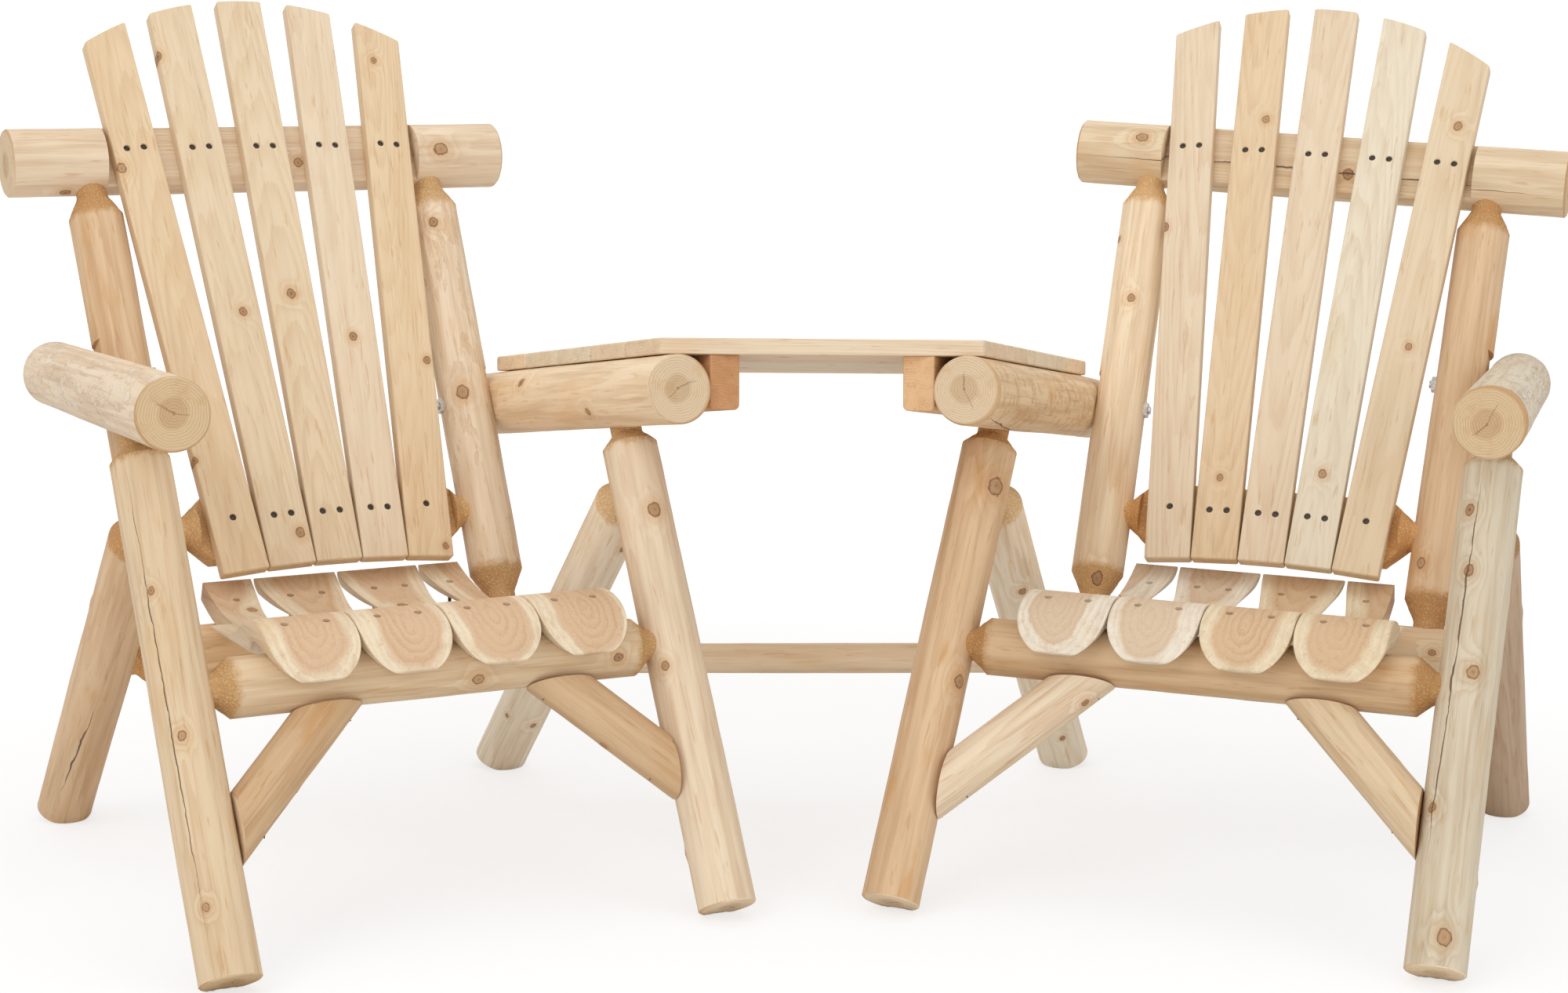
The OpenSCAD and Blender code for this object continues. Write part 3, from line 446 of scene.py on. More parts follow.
def studio():
    """Soft light from all around, and plain white for what the camera and reflections see of it."""
    world = bpy.data.worlds.new("studio")
    bpy.context.scene.world = world
    tree = Tree(world)
    path = tree.node("LightPath").outputs
    seen = tree.math("MAXIMUM", path["Is Camera Ray"], path["Is Glossy Ray"])
    soft = tree.glow("Background", WHITE, SOFT_STRENGTH)
    tree.blend(seen, soft, tree.glow("Background", WHITE, WHITE_STRENGTH), "OutputWorld")


def floor():
    """A pale floor that keeps the shadow near the object and fades to white around it."""
    me = bpy.data.meshes.new("floor")
    s = FLOOR_HALF
    me.from_pydata([(-s, -s, 0), (s, -s, 0), (s, s, 0), (-s, s, 0)], [], [(0, 1, 2, 3)])
    mat = bpy.data.materials.new("floor")
    me.materials.append(mat)
    tree = Tree(mat)
    far = Value(tree, tree.node("TexCoord").outputs["Object"]).length()
    seen = Value(tree, tree.node("LightPath").outputs["Is Camera Ray"])
    diffuse = tree.glow("BsdfDiffuse", FLOOR_COLOUR)
    amount = seen * far.step(FADE_FROM, FADE_TO, FADE_LEAST, 1.0)
    tree.blend(amount, diffuse, tree.glow("Emission", WHITE, WHITE_STRENGTH), "OutputMaterial")
    linked("floor", me)


# The wood

PALE_BARK = (0.80, 0.76, 0.70)
RED_BARK = (0.56, 0.29, 0.11)
# The tones in sRGB: peeled logs, planed boards, sawn lumber, cuts, and the seat's rims and hearts. The palest
# log tone holds painted light: it is lightened past the wood's own colour for the inner rear legs, which sit in
# shade.
TONES = {
    "pale_painted_light": (244, 232, 210), "cream": (238, 216, 184), "ivory": (229, 217, 193), "pale": (228, 208, 180),
    "butter": (225, 204, 172), "wheat": (225, 200, 164), "straw": (218, 194, 160), "amber": (235, 201, 158),
    # The greyish brown that ends the next line is partly the wood's own tone and partly painted shade for the
    # right outer rear leg
    "honey": (216, 185, 148), "toffee": (205, 174, 136), "silver": (210, 197, 173), "dusk_painted_shade": (190, 164, 138),
    "lumber": (225, 185, 140), "red_lumber": (200, 150, 105), "lumber_cut": (214, 168, 118),
    "lumber_heart": (206, 156, 104), "cut_pale": (238, 218, 188), "cut_light": (222, 200, 168),
    "cut": (214, 188, 150), "cut_brown": (200, 162, 116), "pole_cut": (206, 172, 128),
    "pole_heart": (160, 120, 80),
    "rosy_rim": (230, 213, 185), "rosy_heart": (214, 182, 148), "milky_rim": (230, 220, 202),
    "milky_heart": (214, 190, 162), "golden_rim": (226, 209, 178), "golden_heart": (210, 178, 142),
}
# Colours from a knot's pith to its rim, by share of the way
KNOT_COLOURS = [(0.0, (0.10, 0.045, 0.02)), (0.14, (0.30, 0.16, 0.08)), (0.34, (0.43, 0.25, 0.13)),
                (0.58, (0.42, 0.24, 0.12)), (0.74, (0.20, 0.09, 0.04)), (0.86, (0.40, 0.23, 0.12))]
NO_KNOT = 50.0


def tone(name):
    """A tone's sRGB colour as linear values. All tones lie on the curved part of sRGB."""
    return tuple(((c / 255 + 0.055) / 1.055) ** 2.4 for c in TONES[name])


def shaded(colour, *factors):
    return [c * f for c, f in zip(colour, factors)]


class Coat:
    """A material laid on in layers, in a piece's own frame in millimetres, with Z along the grain."""

    def __init__(self, name, base, seed, strength, depth, squeeze=None):
        self.mat = bpy.data.materials.new(name)
        self.tree = tree = Tree(self.mat)
        self.shader = tree.node("BsdfPrincipled")
        self.bump = tree.node("Bump")
        self.bump.inputs["Strength"].default_value = strength
        self.bump.inputs["Distance"].default_value = depth
        tree.put(self.shader.inputs["Normal"], self.bump.outputs[0])
        tree.put(tree.node("OutputMaterial").inputs[0], self.shader.outputs[0])
        self.point = tree.scaled(tree.node("TexCoord").outputs["Object"], 1000.0)
        if squeeze is not None:
            self.point = self.point * squeeze
        self.moved = self.point + tuple(seed * f % 500 for f in (37.1, 91.7, 53.3))
        self.base = self.colour = base
        self.height = None

    def axes(self):
        node = self.tree.node("SeparateXYZ")
        self.tree.put(node.inputs[0], self.point)
        return [Value(self.tree, socket) for socket in node.outputs]

    def noise(self, scale, detail=3.0, rough=0.5, stretch=None):
        point = self.moved if stretch is None else self.moved * stretch
        return self.tree.noise(point, scale, detail, rough)

    def over(self, amount, colour):
        self.colour = self.tree.mix(amount, self.colour, colour)

    def tint(self, amount, colour):
        self.over(amount, self.tree.mix(1.0, self.colour, colour, "MULTIPLY"))

    def finish(self, roughness, specular=0.5):
        sockets = self.shader.inputs
        self.tree.put(sockets["Base Color"], self.colour)
        self.tree.put(sockets["Roughness"], roughness)
        sockets["Specular IOR Level"].default_value = specular
        self.tree.put(self.bump.inputs["Height"], self.height)
        return self.mat


def knot_distance(coat, knots):
    """Distance from the nearest knot's axis, in radii of that knot. A knot is a point on its axis, the axis,
    the radius, and whether it lies on one side of the pith only."""
    nearest = coat.tree.math("ADD", NO_KNOT, 0.0)
    for point, way, size, one_sided in knots:
        way = tuple(Vector(way).normalized())
        q = coat.point - point
        along = q.dot(way)
        d = ((q - coat.tree.scaled(way, along)) * (1.0, 1.0, 0.82)).length() / size
        if one_sided:
            d = d + along.step(6.0, 0.0, 0.0, 40.0)
        nearest = coat.tree.math("MINIMUM", nearest, d)
    return nearest


def pith_distance(coat, x, y):
    return coat.tree.math("SQRT", x * x + y * y)


def rings(coat, knot, ring, pith, tilt, squash, wander):
    """Distance from the pith, wandering and bulging around knots, and the late wood's dark bands."""
    x, y, z = coat.axes()
    near = coat.tree.math("EXPONENT", knot * knot * -0.16)
    warp = coat.noise(0.035, 3.0, 0.55, (1, 1, 0.045))
    r = pith_distance(coat, x - pith[0] + z * tilt[0], (y - pith[1] + z * tilt[1]) * squash)
    r = r + (warp - 0.5) * wander + near * 9.0
    tooth = coat.tree.math("FRACT", r / ring)
    vary = coat.noise(0.02, 1.0, 0.5, (1, 1, 0.1))
    return r, tooth.step(0.25, 0.92) * tooth.step(1.0, 0.93) * vary.step(0.3, 0.7, 0.35, 1.0)


def chewed(coat, places):
    """Stippled wood where a cutter has chewed a taper. A place is a z, the way to go from it, and a reach."""
    z = coat.axes()[2]
    edge = (coat.noise(0.09, 2.0) - 0.5) * 16.0
    cover = None
    for start, way, reach in places:
        here = ((z - start) * float(way) + edge).step(-reach * 0.5, reach * 0.5)
        cover = here if cover is None else coat.tree.math("MAXIMUM", cover, here)
    cells = coat.tree.node("TexVoronoi", feature="F1")
    coat.tree.put(cells.inputs["Vector"], coat.moved * (1, 1, 0.7))
    cells.inputs["Scale"].default_value = 0.34
    pits = Value(coat.tree, cells.outputs["Distance"]).step(0.15, 0.62)
    grit = coat.noise(0.5, 3.0, 0.65)
    colour = coat.tree.mix(pits, shaded(coat.base, 0.95, 0.80, 0.54), shaded(coat.base, 0.74, 0.52, 0.29))
    colour = coat.tree.mix(grit.step(0.52, 0.72, 0.0, 0.7), colour, shaded(coat.base, 0.50, 0.32, 0.16))
    coat.over(cover * 0.88, colour)
    coat.height = coat.height + cover * (pits * -1.5 + grit * -0.9)
    return cover


def bark_traces(coat, amount, colour, way):
    scrape = coat.noise(0.055, 5.0, 0.68, (1, 1, way))
    flake = scrape.step(0.56, 0.62, 0.0, amount)
    coat.over(flake, colour)
    rim = scrape.step(0.54, 0.565) * scrape.step(0.60, 0.57)
    coat.over(rim * amount, shaded(coat.base, 0.5, 0.3, 0.15))
    coat.height = coat.height + flake * 0.5


def knot_figure(coat, knot):
    """A halo, a dark rim and a brown or paler heart with rings of its own."""
    tree = coat.tree
    d = knot + (coat.noise(0.16, 2.0) - 0.5) * 0.7
    coat.over(d.step(2.8, 1.0, 0.0, 0.42), shaded(coat.base, 0.80, 0.56, 0.34))
    ring = tree.math("SINE", d * 21.0).step(0.2, 0.9, 0.0, 0.4)
    dark = tree.mix(ring, tree.ramp(d * 0.8, KNOT_COLOURS), (0.26, 0.13, 0.06))
    pale = tree.mix(ring, (0.58, 0.37, 0.20), (0.36, 0.19, 0.09))
    share = coat.noise(0.011, 0.0).step(0.42, 0.56, 0.0, 0.5) * d.step(0.88, 0.72)
    body = d.step(1.12, 0.9)
    coat.over(body, tree.mix(share, dark, pale))
    coat.height = coat.height + body * 0.25


def drying_check(coat, radius, angle, slope, lo, hi, width):
    """A crack along the grain on the side at angle, from lo to hi, widest in the middle."""
    along = coat.axes()[2] - 0.5 * (lo + hi)
    wave = coat.noise(0.03, 4.0, 0.55, (0.15, 0.15, 1.0))
    across = coat.point.dot((-math.sin(angle), math.cos(angle), 0.0)) - along * slope
    off = coat.tree.math("ABSOLUTE", across + (wave - 0.5) * 7.0)
    share = along / (0.5 * (hi - lo))
    taper = coat.tree.math("SUBTRACT", 1.0, share * share, clamp=True)
    half = taper * wave.step(0.3, 0.6, 0.35, 1.1) * width
    side = coat.point.dot((math.cos(angle), math.sin(angle), 0.0)).step(0.15 * radius, 0.4 * radius)
    crack = (half - off).step(-0.25, 0.25) * side
    coat.over(crack * 0.88, (0.11, 0.055, 0.03))
    coat.height = coat.height - crack * 1.5


def wood(name, base, seed, radius, ring=3.2, ring_depth=0.25, pith=(0, 0), tilt=(0, 0), heart=None, heart_r=0.0,
         squash=1.0, wander=16.0, streak=0.35, stain=0.3, grain_bump=0.35, knots=(), checks=(), rough=(),
         bark=0.0, bark_c=PALE_BARK, bark_way=0.5):
    """Solid wood with rings about the pith, streaks, fibres, knots, drying checks, chewed tapers and bark."""
    coat = Coat(name, base, seed, 0.55, 0.0012)
    knot = knot_distance(coat, knots)
    r, band = rings(coat, knot, ring, pith, tilt, squash, wander)
    fibre = coat.noise(0.55, 3.0, 0.6, (1, 1, 0.02))
    wide = coat.noise(0.075, 3.0, 0.55, (1, 1, 0.06))
    blotch = coat.noise(0.022, 3.0, 0.6, (1, 1, 0.35))
    fleck = coat.noise(0.19, 2.0, 0.6, (1, 1, 0.11))
    light = [min(1.0, c * 1.09 + 0.012) for c in base]
    coat.over(wide.step(0.34, 0.7) * streak, light)
    coat.over(wide.step(0.56, 0.3) * streak, shaded(base, 0.80, 0.70, 0.60))
    coat.over(blotch.step(0.53, 0.72) * stain, shaded(base, 0.93, 0.76, 0.55))
    if heart is not None:
        coat.over(r.step(heart_r + 2.5, heart_r - 3.5), heart)
    coat.tint(band * ring_depth, (0.72, 0.52, 0.34))
    coat.tint(fibre.step(0.57, 0.73, 0.0, 0.42), (0.7, 0.52, 0.36))
    coat.over(fibre.step(0.42, 0.27, 0.0, 0.3), light)
    coat.height = fibre * grain_bump + band * 0.12
    roughness = fibre * 0.2 + 0.5
    if rough:
        roughness = roughness + chewed(coat, rough) * 0.2
    coat.over(fleck.step(0.62, 0.71, 0.0, 0.44), shaded(base, 0.74, 0.53, 0.33))
    if bark > 0:
        bark_traces(coat, bark, bark_c, bark_way)
    knot_figure(coat, knot)
    for check in checks:
        drying_check(coat, radius, *check)
    return coat.finish(roughness, 0.32)


def end_grain(name, base, heart, heart_r, seed, ring=3.0, pith=(0, 0), radius=34.0, cracks=3):
    """A sawn end: rings about the pith, a darker heart, radial checks and grit."""
    coat = Coat(name, base, seed, 0.6, 0.001, squeeze=(1, 1, 0.15))
    x, y, _ = coat.axes()
    centre = pith_distance(coat, x - pith[0], y - pith[1])
    r = centre + (coat.noise(0.04) - 0.5) * 7.0
    tooth = coat.tree.math("FRACT", r / ring)
    band = tooth.step(0.3, 0.9) * tooth.step(1.0, 0.92)
    grit = coat.noise(0.6, 3.0, 0.7)
    coat.over(r.step(heart_r + 3, heart_r - 3), heart)
    coat.tint(band * 0.42, (0.74, 0.54, 0.36))
    coat.tint(coat.noise(0.05, 3.0, 0.6).step(0.5, 0.7, 0.0, 0.35), (0.86, 0.70, 0.52))
    coat.over(centre.step(1.9, 0.8, 0.0, 0.8), (0.30, 0.17, 0.08))
    coat.over(centre.step(radius - 2.4, radius - 0.8, 0.0, 0.55), shaded(base, 0.70, 0.47, 0.28))
    coat.tint(grit.step(0.5, 0.75, 0.0, 0.3), (0.7, 0.52, 0.38))
    coat.height = grit * 0.5 + band * 0.2
    q = coat.point - (pith[0], pith[1], 0.0)
    for k in range(cracks):
        a = (seed * 1.7 + k * 2.39 + (k * k) * 0.4) % 6.283
        reach = radius * (0.35 + 0.4 * ((seed * 7 + k * 3) % 5) / 5)
        across = q.dot((-math.sin(a), math.cos(a), 0.0)) + (coat.noise(0.1, 2.0) - 0.5) * 4.0
        out = q.dot((math.cos(a), math.sin(a), 0.0))
        crack = coat.tree.math("ABSOLUTE", across).step(0.5, 0.12)
        crack = crack * (out.step(0.0, 2.0) * out.step(reach, reach * 0.8))
        coat.over(crack * 0.5, (0.24, 0.13, 0.07))
        coat.height = coat.height - crack
    return coat.finish(0.75, 0.25)


def metal(name, colour, rough):
    """Zinc with spangles and dull patches."""
    coat = Coat(name, colour, 0, 0.25, 0.0003)
    spangle = coat.noise(0.5, 3.0, 0.6)
    coat.colour = coat.tree.mix(spangle.step(0.4, 0.62), shaded(colour, 0.72, 0.72, 0.72), colour)
    coat.over(coat.noise(0.12, 2.0).step(0.55, 0.7, 0.0, 0.4), shaded(colour, 0.5, 0.5, 0.5))
    coat.shader.inputs["Metallic"].default_value = 1.0
    coat.height = spangle
    return coat.finish(spangle * 0.2 + rough)


# Mesh builders

# The rings of a log's sawn end, and the distance between the rings along a bar
CAP_SHARES = (0.88, 0.72, 0.54, 0.36, 0.18)
RING_STEP = 60
BIT_R, BIT_DEEP, BIT_OUT, BIT_SIDE = 4.35, 3.2, 12, Vector((0.31, 0.77, 0.55))


def square(z, way):
    """A square cut at z, with the wood on the side that way points to."""
    return ((0.0, 0.0, z), (0.0, 0.0, float(way)))


def local_plane(m, point, normal):
    """A plane given in the world, in metres, as a local one in millimetres."""
    back = m.inverted()
    return tuple((back @ Vector(point)) * 1000), tuple((back.to_3x3() @ Vector(normal)).normalized())


def chair_plane(which, m, point, normal):
    return local_plane(m, chair_point(which, point), chair_way(which, normal))


def cut_height(planes, pick):
    """The height of crossing planes as a function of x and y, with pick to choose between them."""
    def height(x, y):
        return reduce(pick, [p[2] - ((x - p[0]) * n[0] + (y - p[1]) * n[1]) / n[2] for p, n in planes])
    return height


def band(first, second, n):
    """Faces between two rings of n points, each ring given by its first point."""
    return [(first + j, first + (j + 1) % n, second + (j + 1) % n, second + j) for j in range(n)]


def fan(first, centre, n):
    """Faces from a ring of n points to one point."""
    return [(first + j, first + (j + 1) % n, centre) for j in range(n)]


def piece(node, m, verts, faces, index, mats, sharp=36):
    """A smooth mesh in place of one part, with verts in millimetres and each face's material in index."""
    name = node + "_wood"
    me = bpy.data.meshes.new(name)
    me.from_pydata((verts * MM).tolist(), [], faces)
    for mat in mats:
        me.materials.append(mat)
    me.polygons.foreach_set("material_index", index)
    bm = bmesh.new()
    bm.from_mesh(me)
    bmesh.ops.remove_doubles(bm, verts=bm.verts, dist=0.00003)
    bmesh.ops.recalc_face_normals(bm, faces=bm.faces)
    for f in bm.faces:
        f.smooth = True
    bm.to_mesh(me)
    bm.free()
    me.set_sharp_from_angle(angle=math.radians(sharp))
    o = linked(name, me)
    o.matrix_world = m
    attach(o, "root")
    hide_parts(node)
    return o


def log(node, m, stops, lo, hi, mats, slot, flats=(), knots=(), seed=1, seg=80, step=4.0, ease=1.4,
        tenon_r=TENON_R):
    """A peeled log about local Z. stops are (z, radius), and lo and hi are the planes that cut its ends.
    flats are planed faces, each a point, a normal, and a z from and to. Knots raise the surface a little."""
    zs, rs = np.array(stops, float).T
    edges = [z + d for flat in flats for z in flat[2:] for d in (-0.05, 0.05)]
    rows = np.unique(np.round(np.concatenate([np.arange(zs[0], zs[-1] + 0.01, step), zs, edges]), 3))
    rows = rows[(rows >= zs[0]) & (rows <= zs[-1])]
    z, a = np.meshgrid(rows, np.arange(seg) * (2 * math.pi / seg), indexing="ij")
    r = np.interp(z, zs, rs)
    pts = np.stack([r * np.cos(a), r * np.sin(a), z], -1).reshape(-1, 3)
    r = r.reshape(-1)
    peeled = 0.5 * noise(pts * (1, 1, 0.3), 40, seed) + 0.22 * noise(pts * (1, 1, 0.5), 15, seed + 1) - 0.35
    chew = noise(pts, 5.5, seed + 2) + 0.5 * noise(pts, 2.6, seed + 3) - 0.7
    slope = np.clip((rs.max() - r) / 4.0, 0, 1)
    relief = peeled * (1 - slope) + slope * 0.8 * chew
    for origin, way, size, _ in knots:
        spot = np.array(origin) + np.array(way) * rs.max()
        relief += 1.3 * np.exp(-(np.linalg.norm(pts - spot, axis=1) / (size * 2.0)) ** 2)
    relief *= r > tenon_r + 0.4
    pts[:, :2] *= (1 + relief / r)[:, None]
    for point, normal, z0, z1 in flats:
        n = np.array(normal, float)
        side = np.array([n[0], n[1], 0.0])
        side /= np.linalg.norm(side)
        s = (pts - np.array(point)) @ n
        hit = (s > 0) & (pts[:, 2] > z0) & (pts[:, 2] < z1)
        pts[hit] -= np.outer(s[hit] / (n @ side), side)
    low, high = cut_height(lo, np.maximum), cut_height(hi, np.minimum)
    pts[:, 2] = np.clip(pts[:, 2], low(*pts.T[:2]) + ease, high(*pts.T[:2]) - ease)
    verts = [pts]
    faces = [face for i in range(len(rows) - 1) for face in band(i * seg, (i + 1) * seg, seg)]
    index = [0] * len(faces)
    free = len(pts)
    for height, start in ((low, 0), (high, len(pts) - seg)):
        rim = pts[start:start + seg, :2]
        for share in (1 - ease / np.linalg.norm(rim, axis=1).mean(), *CAP_SHARES):
            xy = rim * share
            ring = np.column_stack([xy, height(*xy.T)])
            ring[:, 2] += 0.22 * noise(ring * (1, 1, 0.0), 4.0, seed + 5) * (share < 0.95)
            verts.append(ring)
            faces += band(start, free, seg)
            start = free
            free += seg
        verts.append(np.array([[0.0, 0.0, height(0.0, 0.0)]]))
        faces += fan(start, free, seg)
        free += 1
    index += [1] * (len(faces) - len(index))
    piece(node, m, np.vstack(verts), faces, index, mats)


def rounded(w, h, r, low_r=None):
    """Outline of a w by h rectangle with rounded corners, low_r for the two at the bottom."""
    low_r = low_r or r
    corners = []
    for cx, cy, q, start in ((1, 1, r, 0), (-1, 1, r, 90), (-1, -1, low_r, 180), (1, -1, low_r, 270)):
        n = 4 if q < 4 else 8
        for k in range(n + 1):
            a = start + 90 * k / n
            corners.append((cx * (w / 2 - q) + q * cos(a), cy * (h / 2 - q) + q * sin(a)))
    out = []
    for a, b in zip(corners, corners[1:] + corners[:1]):
        n = max(1, round(math.dist(a, b) / 4.0))
        out += [(a[0] + (b[0] - a[0]) * k / n, a[1] + (b[1] - a[1]) * k / n) for k in range(n)]
    return np.array(out)


def prism(node, m, section, length, lo, hi, mats, ease=1.5):
    """A sawn bar about local Z with eased ends, whose heights lo and hi give at x, y."""
    inner = section * (1 - ease / np.abs(section).max(axis=0))
    ends = [(inner * 0.3, 0.0), (inner * 0.65, 0.0), (inner, 0.0), (section, ease)]
    a, b = lo(*section.T) + ease, hi(*section.T) - ease
    shares = np.linspace(0, 1, max(2, int(length / RING_STEP)) + 1)[1:-1]
    rings = [np.column_stack([xy, lo(*xy.T) + up]) for xy, up in ends]
    rings += [np.column_stack([section, a + (b - a) * share]) for share in shares]
    rings += [np.column_stack([xy, hi(*xy.T) - up]) for xy, up in reversed(ends)]
    n, last = len(section), len(rings) - 1
    faces, index = [], []
    for r in range(last):
        faces += band(r * n, (r + 1) * n, n)
        index += [int(r < 3 or r > last - 4)] * n
    centre = len(rings) * n
    faces += fan(0, centre, n) + fan(last * n, centre + 1, n)
    index += [1] * (2 * n)
    rings.append(np.array([[0.0, 0.0, lo(0.0, 0.0)], [0.0, 0.0, hi(0.0, 0.0)]]))
    return piece(node, m, np.vstack(rings), faces, index, mats, sharp=20)


def drill(o, holes):
    """Bores short holes into a piece. Each is a world point in metres on its face and the way out of it."""
    bm = bmesh.new()
    lift = Matrix.Translation((0, 0, (BIT_OUT - BIT_DEEP) / 2 * MM))
    for point, way in holes:
        m = placed(Vector(point), Vector(way), BIT_SIDE) @ lift
        bmesh.ops.create_cone(bm, cap_ends=True, segments=24, radius1=BIT_R * MM, radius2=BIT_R * MM,
                              depth=(BIT_OUT + BIT_DEEP) * MM, matrix=m)
    me = bpy.data.meshes.new("bit")
    bm.to_mesh(me)
    bm.free()
    bit = linked("bit", me)
    mod = o.modifiers.new("holes", "BOOLEAN")
    mod.operation = "DIFFERENCE"
    mod.solver = "EXACT"
    mod.object = bit
    bpy.context.view_layer.update()
    made = bpy.data.meshes.new_from_object(o.evaluated_get(bpy.context.evaluated_depsgraph_get()))
    o.modifiers.clear()
    mats = list(o.data.materials)
    o.data = made
    made.materials.clear()
    for mat in mats:
        made.materials.append(mat)
    made.set_sharp_from_angle(angle=math.radians(20))
    bpy.data.objects.remove(bit)


# The logs

# What the photograph shows on each log: the tones of its wood and its cuts, with painted light in the tone of
# the inner rear legs and partly painted shade in that of the right outer rear leg, knots as a pixel and a
# radius, drying checks as the two pixels that they join and a width, then stain and bark
LOGS = {
    "left_front_leg_outer": dict(wood="straw", cut="cut", checks=[((160, 600), (262, 1180), 0.8)],
                                 knots=[(193, 753, 4), (232, 938, 5), (263, 1157, 4)]),
    "left_front_leg_inner": dict(wood="pale", cut="cut_pale", knots=[(835, 650, 8), (849, 849, 5)]),
    "left_rear_leg_outer": dict(wood="honey", checks=[((121, 905), (77, 1010), 1.2)]),
    # Painted light: this leg sits in shade, so its tone is lightened past its wood's own colour.
    "left_rear_leg_inner": dict(wood="pale_painted_light", knots=[(680, 925, 4), (647, 912, 3), (795, 700, 5)]),
    "left_front_seat_rail": dict(wood="straw", knots=[(610, 866, 6), (789, 838, 5)]),
    "left_rear_seat_rail": dict(wood="amber"),
    "left_brace_outer": dict(wood="toffee", cut="cut_pale", stain=0.8),
    "left_brace_inner": dict(wood="toffee", knots=[(770, 950, 4)]),
    "left_back_post_outer": dict(wood="honey", stain=0.7),
    "left_back_post_inner": dict(wood="pale", knots=[(590, 500, 8), (553, 283, 6)], stain=0.8, bark=0.28,
                                 bark_c=RED_BARK, bark_way=0.25),
    "left_top_rail": dict(wood="pale", cut="cut_light", knots=[(562, 190, 8), (83, 245, 6), (388, 213, 5)]),
    "left_lower_back_rail": dict(wood="cream", stain=0.5),
    "left_arm_outer": dict(wood="pale", cut="cut", bark=0.35, stain=0.25),
    "left_arm_inner": dict(wood="cream", cut="cut_light", knots=[(750, 525, 5), (665, 488, 6)]),
    "right_front_leg_outer": dict(wood="silver", cut="cut_pale", checks=[((1890, 610), (1818, 1100), 1.3)],
                                  knots=[(1875, 650, 6), (1874, 727, 6), (1879, 857, 7), (1827, 1030, 5),
                                         (1842, 1195, 8)]),
    "right_front_leg_inner": dict(wood="honey", cut="cut_pale", stain=0.8,
                                  knots=[(1270, 620, 10), (1223, 869, 7)]),
    # Partly painted shade: this tone is darkened past the wood's own colour for the shade on this leg.
    "right_rear_leg_outer": dict(wood="dusk_painted_shade"),
    # Painted light: this leg sits in shade, so its tone is lightened past its wood's own colour.
    "right_rear_leg_inner": dict(wood="pale_painted_light", knots=[(1304, 754, 5), (1355, 941, 4)]),
    "right_front_seat_rail": dict(wood="toffee", stain=0.7),
    "right_rear_seat_rail": dict(wood="straw", knots=[(1827, 832, 4)]),
    "right_brace_outer": dict(wood="straw", stain=0.5),
    "right_brace_inner": dict(wood="pale", knots=[(1384, 896, 4)], stain=0.2),
    "right_back_post_outer": dict(wood="honey", knots=[(1813, 718, 6)], stain=0.85),
    "right_back_post_inner": dict(wood="cream", knots=[(1428, 305, 4), (1443, 380, 5), (1400, 735, 7)]),
    "right_top_rail": dict(wood="butter", cut="cut", knots=[(1457, 175, 7), (1715, 230, 6)],
                           checks=[((1380, 196), (1975, 250), 1.0)]),
    "right_lower_back_rail": dict(wood="amber", stain=0.5),
    "right_arm_outer": dict(wood="silver", cut="cut", bark=0.7),
    "right_arm_inner": dict(wood="wheat", cut="cut_light", stain=0.7, bark=0.45, bark_c=RED_BARK,
                            bark_way=1.4, checks=[((1262, 532), (1300, 560), 1.2)]),
}
SLOTS = {"left_arm_outer": "log_pale", "right_arm_outer": "log_pale", "left_lower_back_rail": "log_tan",
         "right_lower_back_rail": "log_tan", "right_front_leg_inner": "log_tan"}
FLOOR = ((0, 0, 0), (0, 0, 1))
# How far inside a shoulder the chewed wood starts, and over what length it comes in
CHEW_IN, CHEW_REACH = 3, 14
BRACE_ON_LEG = 200
log_number = count(1)


def draw(rng, low, high):
    return float(rng.uniform(low, high))


def dress(node, m, r, z0, z1, stops, lo, hi, flats=(), rough=(), **shape):
    """Materials and mesh of one log, with spare knots and a check on its far side between z0 and z1."""
    look = {"cut": "cut_brown", "knots": (), "checks": (), "stain": 0.42, **LOGS[node]}
    colour, cut = tone(look.pop("wood")), tone(look.pop("cut"))
    seed = next(log_number)
    knots = [knot_on_log(m, r, *knot) for knot in look.pop("knots")]
    knots += spare_knots(m, z0 + 30, z1 - 30, max(2, int((z1 - z0) / 170)), 900 + seed)
    checks = [check_on_log(m, r, *check) for check in look.pop("checks")]
    rng = np.random.default_rng(300 + seed)
    eye = toward_eye(m)
    back = math.atan2(-eye.y, -eye.x) + draw(rng, -0.5, 0.5)
    checks.append((back, draw(rng, -0.02, 0.02), z0 + (z1 - z0) * 0.12, z0 + (z1 - z0) * 0.8, 1.0))
    pith = (draw(rng, -3.5, 3.5), draw(rng, -3.5, 3.5))
    tilt = (draw(rng, -0.012, 0.012), draw(rng, -0.012, 0.012))
    side = wood(node + "_side", colour, seed, r, ring=3.4, ring_depth=0.34, pith=pith, tilt=tilt, streak=0.55,
                knots=knots, checks=checks, rough=rough, **look)
    end = end_grain(node + "_end", cut, shaded(cut, 0.86, 0.80, 0.74), r * 0.4, seed, pith=pith, radius=r)
    log(node, m, stops, lo, hi, [side, end], SLOTS.get(node, "log_cream"), flats=flats, knots=knots,
        seed=seed * 7, **shape)


def tenoned(start, low, high, end, r, taper, tenon_r=TENON_R):
    """Stops of a log from start to end, with shoulders at low and high and a tenon beyond each."""
    return [(start, tenon_r), (low - taper, tenon_r), (low, r),
            (high, r), (high + taper, tenon_r), (end, tenon_r)]


